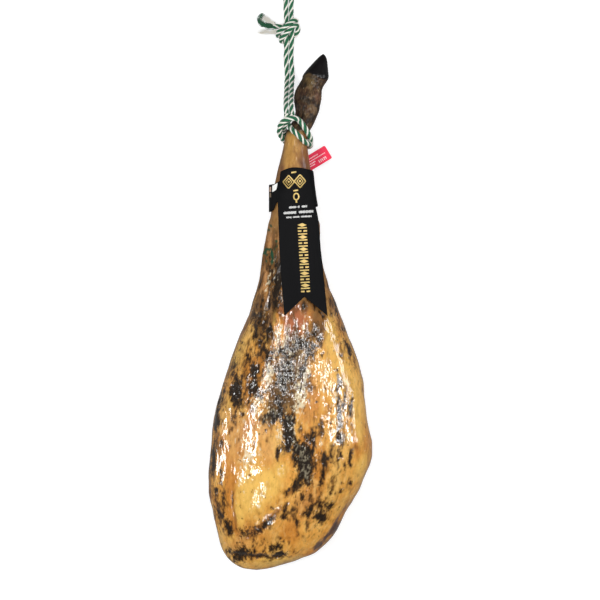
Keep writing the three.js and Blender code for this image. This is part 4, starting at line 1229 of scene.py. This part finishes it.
def over(u, v, up=R + 0.6):
    """A point that lies on the upper side of the leg at a grid position."""
    z = top_of(u, v) + up
    return seen(u, v, z)


def beside(v, angle, out=R + 0.5):
    return skin(v, angle) + skin_out(v, angle) * out


def near(u, v, z):
    return seen(u, v, z)


hitch_line = spline(
    np.array(
        [
            near(286.9, 114.0, 74.2),
            near(286.6, 118.5, 74.5),
            over(287.4, 122.6, R + 1.4),
            over(290.2, 127.2),
            over(294.9, 132.2),
            over(300.4, 137.2),
            over(304.2, 141.4),
            beside(144.4, 0.12),
            beside(145.0, -0.75),
            beside(143.2, -1.6),
            beside(139.8, -2.4),
            beside(137.4, -3.1),
            near(279.6, 133.2, 58.0),
            near(279.8, 127.6, 68.0),
            near(281.6, 123.2, 76.5),
            near(285.2, 120.4, 81.8),
            near(290.0, 118.8, 82.6),
            near(294.8, 118.2, 79.0),
            over(298.9, 120.2, R + 2.2),
            over(302.7, 124.6),
            over(306.2, 130.2, R + 1.0),
            near(309.6, 136.4, 62.0),
            beside(141.0, 0.0, R + 0.8),
            beside(140.8, -0.8),
            beside(138.0, -1.6),
            beside(134.0, -2.35),
            beside(130.0, -3.0),
            near(283.9, 126.6, 62.0),
            near(285.6, 123.0, 68.5),
            near(288.6, 120.6, 73.0),
            near(291.5, 117.6, 74.0),
            near(292.1, 114.0, 74.2),
        ]
    ),
    1.0,
)
hitch = cord_object("shank_hitch", strands(hitch_line, CORD_D + 0.9, phase=1.2))
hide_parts("rope_hitch")

# The stopper knot: the cord's own end, wound twice round its two legs.
knot_line = spline(
    np.array(
        [
            near(290.0, 39.5, 6.5),
            near(285.2, 41.6, 4.6),
            near(281.2, 41.0, 9.5),
            near(281.6, 38.4, 16.0),
            near(284.4, 35.0, 20.4),
            near(288.8, 30.6, 21.8),
            near(293.6, 26.4, 20.6),
            near(297.0, 25.2, 15.4),
            near(298.0, 29.6, 10.6),
            near(295.4, 34.6, 6.4),
            near(288.6, 37.0, 4.2),
            near(281.6, 37.0, 5.4),
            near(277.6, 35.0, 11.0),
            near(279.0, 31.8, 17.6),
            near(283.2, 28.2, 21.6),
            near(288.4, 24.2, 22.2),
            near(293.0, 20.8, 19.8),
            near(296.4, 20.4, 13.8),
            near(294.0, 22.6, 7.0),
            near(288.0, 25.0, 4.2),
            near(282.6, 26.2, 4.4),
            near(277.4, 26.4, 5.0),
            near(273.4, 26.6, 4.8),
        ]
    ),
    1.0,
)
knot = cord_object("stopper_knot", strands(knot_line, phase=0.2))
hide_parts("rope_knot")


def fibres(name):
    """The unlaid end of the cord: a curl of green yarn and a fan of white ones."""
    rng = np.random.default_rng(5)
    parts = []
    for k in range(150):
        j = rng.normal(size=3)
        e = rng.normal(size=3)
        h = rng.random()
        line = np.array(
            [
                seen(275.4 + 0.3 * j[0], 26.4 + 1.3 * j[1], 4.6 + 1.3 * j[2]),
                seen(271.8 + 0.3 * j[0], 25.8 + 1.1 * j[1], 4.8 + 1.3 * j[2]),
                seen(267.4, 25.8 + 1.2 * j[1], 5.2 + 1.5 * j[2]),
                seen(262.8 + 0.7 * e[0], 24.4 + 1.3 * e[1], 5.4 + 1.6 * j[2]),
                seen(259.4 + 0.9 * e[0], 20.8 + 1.0 * e[1], 5.6 + 1.6 * e[2]),
                seen(259.8 + 1.1 * e[0] + h, 16.8 + 1.0 * e[1], 5.6 + 1.7 * e[2]),
                seen(262.2 + 1.4 * e[0] + h, 14.4 + 1.0 * e[1], 5.6 + 1.7 * e[2]),
            ]
        )
        cut = 4 + rng.integers(0, 4)
        line = spline(line[: max(cut, 5)], 2.0)
        line[:, 2] = np.maximum(line[:, 2], 0.5)
        parts.append((True, line, np.linspace(0.34, 0.2, len(line))))
    for k in range(120):
        up = rng.random() < 0.5
        j = rng.normal(size=3)
        e = rng.normal(size=3)
        if up:
            line = [
                seen(276.0, 25.4 + 0.9 * j[1], 5.0 + 1.0 * j[2]),
                seen(272.6, 23.0 + 0.9 * j[1], 6.4 + 1.0 * j[2]),
                seen(268.0 + 1.6 * e[0], 20.2 + 1.4 * e[1], 6.6 + 1.4 * e[2]),
                seen(264.4 + 3.0 * e[0], 17.4 + 1.6 * e[1], 6.0 + 1.6 * e[2]),
            ]
        else:
            line = [
                seen(277.0, 31.4 + 0.9 * j[1], 5.0 + 1.0 * j[2]),
                seen(271.6, 32.4 + 0.9 * j[1], 4.8 + 1.0 * j[2]),
                seen(266.0 + 0.6 * e[0], 32.0 + 1.3 * e[1], 4.2 + 1.2 * e[2]),
                seen(260.4 + 2.2 * e[0], 32.2 + 2.0 * e[1], 3.4 + 1.2 * e[2]),
            ]
        line = spline(np.array(line), 2.2)
        line += 0.35 * np.sin(np.arange(len(line))[:, None] * rng.uniform(0.4, 1.2, 3) + rng.uniform(0, 6, 3)) * np.linspace(0, 1, len(line))[:, None]
        line[:, 2] = np.maximum(line[:, 2], 0.5)
        parts.append((False, line, np.linspace(0.3, 0.16, len(line))))
    return cord_object(name, parts)


tail = fibres("frayed_end")
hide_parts("rope_tail")

# ---------------------------------------------------------------------- label
STRIP = np.array(
    [
        [167.0, 281.2, 307.4, 77.0, 7.6, 7.6],
        [180, 279.8, 309.9, 77.9, 8.1, 7.2],
        [190, 278.8, 312.0, 78.7, 8.5, 6.8],
        [201, 278.0, 314.2, 79.6, 9.0, 5.9],
        [219, 278.4, 318.0, 81.2, 9.0, 4.0],
        [241, 279.1, 319.9, 83.3, 8.5, 2.7],
        [264, 280.6, 322.5, 86.0, 7.6, 1.8],
        [289, 282.4, 325.0, 91.3, 7.2, 1.4],
        [316, 284.8, 327.6, 98.3, 6.8, 1.3],
    ]
)
s_left, s_right, s_high, s_drop_r, s_drop_l = (pchip(STRIP[:, 0], STRIP[:, k]) for k in range(1, 6))


def clear_of(p, gap):
    """Moves points straight out from the leg's middle line until they clear the smooth skin."""
    v = MID_V - p[..., 1] / UNIT
    left, right = X(leg_left(v)), X(leg_right(v))
    zb, zt = leg_under(v), leg_top(v)
    mid = zb + MID_SHARE * (zt - zb)
    half = (right - left) / 2
    dx = p[..., 0] - (left + right) / 2
    lift = leg_lift(v) * dx / half
    dz = p[..., 2] + lift - mid
    power = np.where(dz >= 0, POWER_TOP, POWER_UNDER)
    high = np.where(dz >= 0, zt - mid, mid - zb)
    share = ((np.abs(dx) / half) ** power + (np.abs(dz) / high) ** power) ** (1 / power)
    reach = np.hypot(dx, dz)
    need = reach / np.maximum(share, 1e-6) + gap
    k = np.where(reach >= need, 1.0, need / np.maximum(reach, 1e-6))
    return np.stack([(left + right) / 2 + dx * k, p[..., 1], mid + dz * k - lift], -1)


STRAP_ROW = 190.0


def card_gap(v):
    """The card lies close to the skin, and rides over the seal tag's strap."""
    k = np.abs(v - STRAP_ROW) / 6
    return 1.2 + 2.0 * np.maximum(0, 1 - k * k * 0.5)


def strip_point(v, s):
    v, s = np.broadcast_arrays(np.asarray(v, float), np.asarray(s, float))
    u = s_left(v) + (s_right(v) - s_left(v)) * s
    k = 2 * s - 1
    drop = np.where(k > 0, s_drop_r(v), s_drop_l(v)) * np.abs(k) ** 2.2
    z = s_high(v) - drop
    return clear_of(seen(u, v, z), card_gap(v))


BAND_TOP = pchip([0, 0.14, 0.26, 0.42, 0.62, 0.78, 0.88, 1], [168.3, 172, 178, 181, 184, 185, 182, 176])
BAND_END = pchip([0, 0.3, 0.6, 0.74, 0.82, 0.9, 1], [205, 207, 211, 212, 209, 202, 199])


def catmull(points, t):
    """Centripetal Catmull-Rom through the points, at t from 0 to 1 over all of them (as three.js does)."""
    p = np.asarray(points, float)
    n = len(p)
    x = t * (n - 1)
    i = min(int(math.floor(x)), n - 2)
    w = x - i
    p0 = p[i - 1] if i > 0 else 2 * p[0] - p[1]
    p1, p2 = p[i], p[i + 1]
    p3 = p[i + 2] if i + 2 < n else 2 * p[-1] - p[-2]
    d0 = max(np.sum((p0 - p1) ** 2) ** 0.25, 1e-4)
    d1 = max(np.sum((p1 - p2) ** 2) ** 0.25, 1e-4)
    d2 = max(np.sum((p2 - p3) ** 2) ** 0.25, 1e-4)
    t1 = ((p1 - p0) / d0 - (p2 - p0) / (d0 + d1) + (p2 - p1) / d1) * d1
    t2 = ((p2 - p1) / d1 - (p3 - p1) / (d1 + d2) + (p3 - p2) / d2) * d1
    return (
        p1
        + t1 * w
        + (-3 * p1 + 3 * p2 - 2 * t1 - t2) * w * w
        + (2 * p1 - 2 * p2 + t1 + t2) * w**3
    )


def band_point(v, w):
    a = strip_point(v, 0.86)
    r = strip_point(v, 1.0)
    y = float(Y(v))
    under = float(leg_under(v)) - 2.6
    right = float(X(leg_right(v))) + 3.4
    left0 = strip_point(v, 0.0)
    left1 = strip_point(v, 0.18)
    pts = [
        a,
        r,
        (max(right, r[0] + 0.8), y, 56),
        (right - 2.5, y, 36),
        (right - 15, y, under + 1.6),
        ((right + float(X(270))) / 2, y, under - 0.4),
        (float(X(274.5)), y, under + 2.2),
        (float(X(269.6)), y, 39),
        (float(X(269.4)), y, 52),
        (float(X(273.2)), y, 67),
        (left0[0] - 1.2, left0[1], left0[2] - 2.6),
        (left1[0], left1[1], left1[2] - 2.1),
    ]
    t0 = 1 / (len(pts) - 1)
    return clear_of(catmull(pts, t0 + (1 - t0) * w), card_gap(v))


def thick_sheet(grid, has, thickness):
    """A sheet of a thickness on a grid of points, some cells left out; outward is across x down."""
    rows, cols = grid.shape[0], grid.shape[1]
    a = np.empty_like(grid)
    b = np.empty_like(grid)
    a[:, 1:-1] = grid[:, 2:] - grid[:, :-2]
    a[:, 0], a[:, -1] = grid[:, 1] - grid[:, 0], grid[:, -1] - grid[:, -2]
    b[1:-1] = grid[:-2] - grid[2:]
    b[0], b[-1] = grid[0] - grid[1], grid[-2] - grid[-1]
    n = np.cross(a, b)
    n /= np.maximum(np.linalg.norm(n, axis=-1, keepdims=True), 1e-9)
    outer = grid + n * thickness
    pts = np.concatenate([grid.reshape(-1, 3), outer.reshape(-1, 3)])
    base = rows * cols
    faces = []

    def inside(i, j):
        return 0 <= i < rows - 1 and 0 <= j < cols - 1 and has(i, j)

    for i in range(rows - 1):
        for j in range(cols - 1):
            if not inside(i, j):
                continue
            q = [i * cols + j, i * cols + j + 1, (i + 1) * cols + j + 1, (i + 1) * cols + j]
            faces.append([x + base for x in q[::-1]])
            faces.append(q)
            for open_, x, y in (
                (not inside(i - 1, j), q[0], q[1]),
                (not inside(i, j + 1), q[1], q[2]),
                (not inside(i + 1, j), q[2], q[3]),
                (not inside(i, j - 1), q[3], q[0]),
            ):
                if open_:
                    faces.append([x, x + base, y + base, y])
    used = sorted({x for f in faces for x in f})
    index = {x: k for k, x in enumerate(used)}
    return pts[used], [[index[x] for x in f] for f in faces], n


def build_label():
    across, round_, high, low = 40, 110, 26, 60
    rows, cols = high + low + 1, across + round_ + 1
    grid = np.zeros((rows, cols, 3))
    joint = 205.0
    edge = 167.4 + 4.2 * 0.55 * (0.48 / 0.52) ** 2
    for j in range(cols):
        s = min(j / across, 1.0)
        arch = 167.4 + 4.2 * (abs(s - 0.52) / 0.52) ** 2 * (1 if s < 0.52 else 0.55)
        notch = 316 - 19 * (1 - abs(2 * s - 1) ** 1.05)
        if j <= across:
            v = np.concatenate([
                arch + (joint - arch) * np.arange(high + 1) / high,
                joint + (notch - joint) * np.arange(1, low + 1) / low,
            ])
            grid[:, j] = strip_point(v, s)
        else:
            w = (j - across) / round_
            top = edge if w < 0.02 else float(BAND_TOP(w))
            if 0.02 <= w < 0.1:
                top = edge + (float(BAND_TOP(0.1)) - edge) * (w - 0.02) / 0.08
            end = float(BAND_END(w))
            for i in range(high + 1):
                grid[i, j] = band_point(top + (end - top) * i / high, w)
            grid[high + 1 :, j] = grid[high, j]
    pts, faces, n = thick_sheet(grid, lambda i, j: j < across or i < high, 0.55)
    return pts, faces


label_nodes = plain("label_card", srgb(13, 13, 15), 0.62, specular=0.08)
_co = label_nodes.add("ShaderNodeTexCoord").outputs["Object"]
_n = label_nodes.noise(_co, 700.0, 3.0, 0.6)
label_nodes.to(label_nodes.bump(_n, 0.12, 0.0003), "Normal")
label_pts, label_faces = build_label()
label = mesh("label_card", label_pts, label_faces, label_nodes.material)
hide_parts("label_sleeve")
label.data.polygons.foreach_set("use_smooth", np.ones(len(label.data.polygons), bool))
label.data.set_sharp_from_angle(angle=math.radians(40))

gold_mat = plain("label_gold", srgb(196, 168, 96), 0.36, specular=0.6, metallic=0.35).material
white_print = plain("label_white", srgb(232, 232, 230), 0.5).material


def on_strip(u, v, up=0.75):
    """A point of the label's face at a grid position."""
    u, v = np.broadcast_arrays(np.asarray(u, float), np.asarray(v, float))
    s = (u - s_left(v)) / (s_right(v) - s_left(v))
    p = strip_point(v, s)
    e = 0.01
    a = strip_point(v, s + e) - strip_point(v, s - e)
    b = strip_point(v - 0.4, s) - strip_point(v + 0.4, s)
    n = np.cross(a, b)
    n /= np.maximum(np.linalg.norm(n, axis=-1, keepdims=True), 1e-9)
    return p + n * up


class Print:
    """Flat ornaments collected into one thin mesh on the label."""

    def __init__(self):
        self.points, self.faces = [], []

    def patch(self, grid_uv, where=None):
        """grid_uv: (rows, cols, 2) positions on the grid."""
        rows, cols = grid_uv.shape[:2]
        place = where or on_strip
        base = len(self.points)
        low = place(grid_uv[..., 0], grid_uv[..., 1], 0.56)
        high = place(grid_uv[..., 0], grid_uv[..., 1], 0.68)
        self.points += low.reshape(-1, 3).tolist() + high.reshape(-1, 3).tolist()
        m = rows * cols
        for i in range(rows - 1):
            for j in range(cols - 1):
                q = [base + i * cols + j, base + i * cols + j + 1, base + (i + 1) * cols + j + 1, base + (i + 1) * cols + j]
                self.faces.append(q)
                self.faces.append([x + m for x in q[::-1]])
                for open_, x, y in ((i == 0, q[0], q[1]), (j == cols - 2, q[1], q[2]), (i == rows - 2, q[2], q[3]), (j == 0, q[3], q[0])):
                    if open_:
                        self.faces.append([x, x + m, y + m, y])

    def line(self, p, q, width, n=6):
        """A straight bar from p to q."""
        p, q = np.array(p, float), np.array(q, float)
        d = (q - p) / np.linalg.norm(q - p)
        side = np.array([-d[1], d[0]]) * width / 2
        t = np.linspace(0, 1, n)[None, :, None]
        mid = p + (q - p) * t[0]
        self.patch(np.stack([mid - side, mid + side], 0) if (d[0] >= 0) else np.stack([mid + side, mid - side], 0))

    def ring(self, centre, ru, rv, width, n=36, a0=0.0, a1=360.0, turn=0.0):
        t = np.radians(np.linspace(a0, a1, n))
        c, s = math.cos(math.radians(turn)), math.sin(math.radians(turn))
        out = []
        for k in (-0.5, 0.5):
            x = (ru + k * width) * np.cos(t)
            y = (rv + k * width) * np.sin(t)
            out.append(np.stack([centre[0] + x * c - y * s, centre[1] + x * s + y * c], -1))
        self.patch(np.stack(out, 0))

    def diamond(self, centre, ru, rv):
        """A lozenge, as a grid that narrows to its ends."""
        n = 5
        t = np.linspace(-1, 1, n)
        g = np.zeros((3, n, 2))
        for i, k in enumerate((-1, 0, 1)):
            g[i, :, 0] = centre[0] + t * ru
            g[i, :, 1] = centre[1] + k * rv * (1 - np.abs(t) * 0.98)
        self.patch(g)

    def make(self, name, material):
        obj = mesh(name, np.array(self.points), self.faces, material, False)
        return obj


gold = Print()
# a short dash at the head of the label
gold.line((291.4, 172.7), (296.2, 171.9), 1.5)
# crest: two nested lozenges side by side, a short bar on each side of them


def lozenge(u, v, ru, rv, width):
    corners = [(u, v - rv), (u + ru, v), (u, v + rv), (u - ru, v)]
    for k in range(4):
        gold.line(corners[k], corners[(k + 1) % 4], width, 4)


for u0, v0 in ((288.8, 182.0), (299.9, 181.2)):
    lozenge(u0, v0, 5.6, 6.6, 1.15)
    lozenge(u0, v0, 3.1, 3.7, 0.75)
    gold.diamond((u0, v0), 1.3, 1.5)
gold.line((293.4, 190.9), (298.0, 190.2), 1.4)
# a small drop
gold.ring((296.2, 196.6), 2.5, 3.2, 1.3, n=28, a0=0, a1=360)
gold.line((296.3, 200.2), (296.5, 202.8), 1.5, 3)
# a column of lozenges and bars down the tongue
for k, v0 in enumerate(np.linspace(225.0, 291.5, 23)):
    u0 = 302.0 + (v0 - 223.0) * 0.052
    if k % 4 == 0:
        gold.diamond((u0, v0), 4.5, 1.9)
    elif k % 4 == 2:
        gold.line((u0 - 4.5, v0 + 0.15), (u0 - 1.0, v0), 1.5, 4)
        gold.line((u0 + 1.0, v0), (u0 + 4.5, v0 - 0.3), 1.5, 4)
    else:
        gold.line((u0 - 4.5, v0 + 0.15), (u0 + 4.5, v0 - 0.3), 1.2, 5)
white = Print()
for u0, u1, v0, v1, wd in (
    (289.0, 296.4, 207.6, 207.0, 2.1), (297.6, 299.6, 206.9, 206.8, 2.1), (301.6, 307.0, 206.6, 206.2, 2.1),
    (283.6, 296.2, 213.2, 212.4, 2.5), (298.8, 313.2, 212.2, 211.3, 2.5),
    (286.2, 291.6, 217.6, 217.3, 1.6), (292.8, 299.4, 217.2, 216.8, 1.6), (300.8, 311.6, 216.7, 216.2, 1.6),
):
    n = max(int((u1 - u0) / 0.62), 2)
    step = (u1 - u0) / n
    for k in range(n):
        # a row of short upright ticks reads as a line of small print without being any letter
        uu = u0 + (k + 0.5) * step
        vv_ = v0 + (v1 - v0) * (k + 0.5) / n
        h = wd * (1.0 if (k * 7) % 5 else 0.72)
        white.patch(np.array([[[uu - step * 0.33, vv_ - h / 2], [uu + step * 0.33, vv_ - h / 2 - 0.02]], [[uu - step * 0.33, vv_ + h / 2], [uu + step * 0.33, vv_ + h / 2]]]))
gold.make("label_gold_print", gold_mat)
white.make("label_white_print", white_print)


def band_patch(w0, w1, dv0, dv1, up, n=8):
    """Corner grid on the band's outside, between two shares round it and two depths under its top edge."""
    g = np.zeros((n, n, 3))
    for i in range(n):
        for j in range(n):
            w = w0 + (w1 - w0) * j / (n - 1)
            g[i, j] = band_point(float(BAND_TOP(w)) + dv0 + (dv1 - dv0) * i / (n - 1), w)
    a = np.gradient(g, axis=1)
    b = -np.gradient(g, axis=0)
    nn = np.cross(a, b)
    nn /= np.linalg.norm(nn, axis=-1, keepdims=True)
    return g + nn * up


sticker_pts, sticker_faces, _ = thick_sheet(band_patch(0.79, 0.88, 0.9, 7.3, 0.62), lambda i, j: True, 0.18)
sticker = mesh("label_sticker", sticker_pts, sticker_faces, plain("sticker_paper", srgb(238, 238, 234), 0.5).material, False)
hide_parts("label_sticker")
for k, (w0, w1, a, b, col) in enumerate(
    ((0.715, 0.765, 2.2, 7.0, srgb(205, 170, 150)), (0.715, 0.765, 8.2, 12.6, srgb(128, 108, 84)))
):
    p_, f_, _ = thick_sheet(band_patch(w0, w1, a, b, 0.6, 5), lambda i, j: True, 0.1)
    mesh(f"label_spot_{k}", p_, f_, plain(f"label_spot_{k}", col, 0.5).material, False)

# ------------------------------------------------------------------ seal tag
tag_red = plain("tag_plastic", srgb(236, 46, 80), 0.45, specular=0.15).material
def build_strap():
    steps, half = 72, 2.6
    rings = []
    for j in range(steps):
        a = j / steps * 2 * math.pi
        n = skin_out(STRAP_ROW, a)
        n = np.array([n[0], 0, n[2]])
        n /= np.linalg.norm(n)
        base = skin(STRAP_ROW, a)
        corner = []
        for off, side in ((0.9, -1), (2.1, -1), (2.1, 1), (0.9, 1)):
            q = base + n * off
            q[1] = float(Y(STRAP_ROW + side * half / UNIT))
            corner.append(q)
        rings.append(corner)
    pts = np.array(rings).reshape(-1, 3)
    return pts, ring_faces(steps, 4, closed=True)


def flag_frame():
    end = seen(328.5, 151.6, 20.2)
    turn, dip = math.radians(31.4), math.radians(3.5)
    along = np.array([math.cos(turn) * math.cos(dip), math.sin(turn) * math.cos(dip), -math.sin(dip)])
    side = np.array([-math.sin(turn), math.cos(turn), 0])
    return end, along, side, np.cross(along, side)


def build_flag():
    end, along, side, up = flag_frame()
    long_, wide, r, t = 64.0, 23.0, 2.2, 1.5
    outline = []
    for cx, cy, a0 in ((-r, wide / 2 - r, 0), (-long_ + r, wide / 2 - r, 90), (-long_ + r, -wide / 2 + r, 180), (-r, -wide / 2 + r, 270)):
        for k in range(5):
            a = math.radians(a0 + 90 * k / 4)
            outline.append((cx + r * math.cos(a), cy + r * math.sin(a)))
    n = len(outline)
    pts, faces = [], []
    for inset, z in ((0.3, -t), (0, -t + 0.3), (0, -0.3), (0.3, 0)):
        for x, y in outline:
            k = 1 - inset / 20
            pts.append(end + along * ((x + long_ / 2) * (1 - inset / long_ * 2) - long_ / 2) + side * (y * k) + up * z)
    for layer in range(3):
        for j in range(n):
            a, b = layer * n + j, layer * n + (j + 1) % n
            faces.append([a, b, b + n, a + n])
    faces.append(list(range(n))[::-1])
    faces.append([3 * n + j for j in range(n)])
    return np.array(pts), faces


strap_pts, strap_faces = build_strap()
flag_pts, flag_faces = build_flag()
neck_rows = np.array([166, 170, 174, 178, 182, 186, 190.0])
neck_top = skin(neck_rows, -math.pi / 2)[:, 2] - 0.9
neck_x = X(294 + (neck_rows - 166) / 24 * 1.5)
neck = np.stack(
    [
        np.stack([neck_x + dx, Y(neck_rows), neck_top + dz], -1)
        for dx, dz in ((-2.6, -1.2), (2.6, -1.2), (2.6, 0), (-2.6, 0))
    ],
    1,
).reshape(-1, 3)
neck_faces = ring_faces(len(neck_rows), 4).tolist() + [[3, 2, 1, 0], [24, 25, 26, 27]]
BOX_FACES = [[3, 2, 1, 0], [4, 5, 6, 7], [0, 1, 5, 4], [1, 2, 6, 5], [2, 3, 7, 6], [3, 0, 4, 7]]
all_pts = np.concatenate([strap_pts, flag_pts, neck])
all_faces = strap_faces.tolist() + [[i + len(strap_pts) for i in f] for f in flag_faces] + [
    [i + len(strap_pts) + len(flag_pts) for i in f] for f in neck_faces
]
tag = mesh("seal_tag", all_pts, all_faces, tag_red, False)
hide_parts("seal_tag")

# plain bars on the flag
end_, along_, side_, up_ = flag_frame()
bars_pts, bars_faces = [], []


def tag_bar(x0, x1, y, width):
    base = len(bars_pts)
    for z in (0.02, 0.12):
        for x, yy in ((x0, y - width / 2), (x1, y - width / 2), (x1, y + width / 2), (x0, y + width / 2)):
            bars_pts.append(end_ + along_ * x + side_ * yy + up_ * z)
    for f in BOX_FACES:
        bars_faces.append([base + i for i in f])


for start_, count_, step_, long_, y_, width_ in (
    (-35.0, 9, 2.1, 1.5, 5.4, 1.2),
    (-37.0, 11, 2.9, 2.4, 1.5, 1.0),
    (-37.0, 5, 2.4, 1.7, -2.2, 1.5),
    (-37.0, 4, 2.3, 1.6, -5.6, 1.3),
    (-21.0, 5, 3.0, 1.0, -5.8, 4.6),
    (-18.5, 2, 6.0, 3.0, -4.4, 0.9),
):
    for k in range(count_):
        tag_bar(start_ + k * step_, start_ + k * step_ + long_, y_, width_)
mesh("tag_bars", np.array(bars_pts), bars_faces, plain("tag_white", srgb(252, 232, 236), 0.45).material, False)

# ------------------------------------------------------------ stage and light
floor_mat = bpy.data.materials.new("stage_white")
floor_mat.use_nodes = True
ft = floor_mat.node_tree
ft.nodes.clear()
emit = ft.nodes.new("ShaderNodeEmission")
emit.inputs["Color"].default_value = (1, 1, 1, 1)
emit.inputs["Strength"].default_value = 0.62
matt = ft.nodes.new("ShaderNodeBsdfDiffuse")
matt.inputs["Color"].default_value = (0.55, 0.55, 0.55, 1)
shown = ft.nodes.new("ShaderNodeAddShader")
dim = ft.nodes.new("ShaderNodeEmission")
dim.inputs["Color"].default_value = (1, 1, 1, 1)
dim.inputs["Strength"].default_value = 0.22
ray = ft.nodes.new("ShaderNodeLightPath")
both = ft.nodes.new("ShaderNodeMixShader")
fo = ft.nodes.new("ShaderNodeOutputMaterial")
ft.links.new(ray.outputs["Is Camera Ray"], both.inputs["Fac"])
ft.links.new(dim.outputs[0], both.inputs[1])
ft.links.new(emit.outputs[0], shown.inputs[0])
ft.links.new(matt.outputs[0], shown.inputs[1])
ft.links.new(shown.outputs[0], both.inputs[2])
ft.links.new(both.outputs[0], fo.inputs["Surface"])
fd = bpy.data.meshes.new("table")
fd.from_pydata([(-6, -6, -0.0006), (6, -6, -0.0006), (6, 6, -0.0006), (-6, 6, -0.0006)], [], [(0, 1, 2, 3)])
floor = bpy.data.objects.new("table", fd)
bpy.context.scene.collection.objects.link(floor)
fd.materials.append(floor_mat)

world = bpy.data.worlds.new("studio")
bpy.context.scene.world = world
world.use_nodes = True
wt = world.node_tree
wt.nodes["Background"].inputs["Color"].default_value = (1, 1, 1, 1)
wt.nodes["Background"].inputs["Strength"].default_value = 0.25
wdim = wt.nodes.new("ShaderNodeBackground")
wdim.inputs["Color"].default_value = (1, 1, 1, 1)
wdim.inputs["Strength"].default_value = 0.05
wray = wt.nodes.new("ShaderNodeLightPath")
wmix = wt.nodes.new("ShaderNodeMixShader")
wt.links.new(wray.outputs["Is Glossy Ray"], wmix.inputs["Fac"])
wt.links.new(wt.nodes["Background"].outputs[0], wmix.inputs[1])
wt.links.new(wdim.outputs[0], wmix.inputs[2])
wseen = wt.nodes.new("ShaderNodeBackground")
wseen.inputs["Color"].default_value = (1, 1, 1, 1)
wseen.inputs["Strength"].default_value = 1.0
wall = wt.nodes.new("ShaderNodeMixShader")
wt.links.new(wray.outputs["Is Camera Ray"], wall.inputs["Fac"])
wt.links.new(wmix.outputs[0], wall.inputs[1])
wt.links.new(wseen.outputs[0], wall.inputs[2])
wt.links.new(wall.outputs[0], wt.nodes["World Output"].inputs["Surface"])

target = Vector((0.0, -0.08, 0.09))


def softbox(name, place, size, power, aim=target):
    """An area light aimed at a point; its second side runs along the object."""
    light = bpy.data.lights.new(name, "AREA")
    light.shape = "RECTANGLE"
    light.size, light.size_y = size
    light.energy = power
    obj = bpy.data.objects.new(name, light)
    back = (Vector(place) - aim).normalized()
    along = Vector((0, 1, 0)) - back * back.y
    along.normalize()
    across = along.cross(back)
    turn = Matrix((across, along, back)).transposed().to_4x4()
    obj.matrix_world = Matrix.Translation(Vector(place)) @ turn
    bpy.context.scene.collection.objects.link(obj)
    obj.visible_camera = False
    return obj


for name_, place_, size_, power_ in (
    ("fill", (0.6, 0.3, 3.2), (2.2, 2.2), 48),
    ("fill_right", (1.7, 0.15, 0.9), (1.0, 1.0), 11.5),
    ("fill_left", (-1.8, 0.1, 0.7), (0.9, 1.0), 4),
):
    softbox(name_, place_, size_, power_).visible_glossy = False
softbox("left", (-0.95, -0.15, 1.8), (0.26, 0.8), 18)
for name_, place_, size_, power_ in (
    ("left_top", (-0.42, 0.42, 1.8), (0.16, 0.4), 5.0),
    ("right_top", (0.45, 0.28, 1.8), (0.12, 0.6), 6.0),
    ("right", (1.33, 0.20, 1.8), (0.10, 0.66), 6.0),
    ("far_right", (2.1, 0.0, 1.8), (0.30, 0.4), 13.0),
    ("right_side", (1.5, 0.25, 0.5), (0.25, 0.7), 4.5),
    ("left_side", (-1.6, -0.15, 0.34), (0.26, 0.5), 8.0),
    ("left_low", (-0.47, -1.1, 1.8), (0.16, 0.3), 3.6),
):
    softbox(name_, place_, size_, power_).visible_diffuse = False

# --------------------------------------------------------------------- camera
cam_data = bpy.data.cameras.new("camera")
cam = bpy.data.objects.new("camera", cam_data)
bpy.context.scene.collection.objects.link(cam)
cam.location = (float(X(VIEW_U)) / 1000, float(Y(VIEW_V)) / 1000, (VIEW_D + VIEW_Z) / 1000)
cam.rotation_euler = (0, 0, 0)
cam_data.sensor_width = 36.0
cam_data.lens = 36.0 * VIEW_D / (600 * UNIT)
cam_data.clip_start, cam_data.clip_end = 0.05, 20
bpy.context.scene.camera = cam
bpy.context.scene.view_settings.view_transform = "Standard"
bpy.context.scene.view_settings.look = "None"
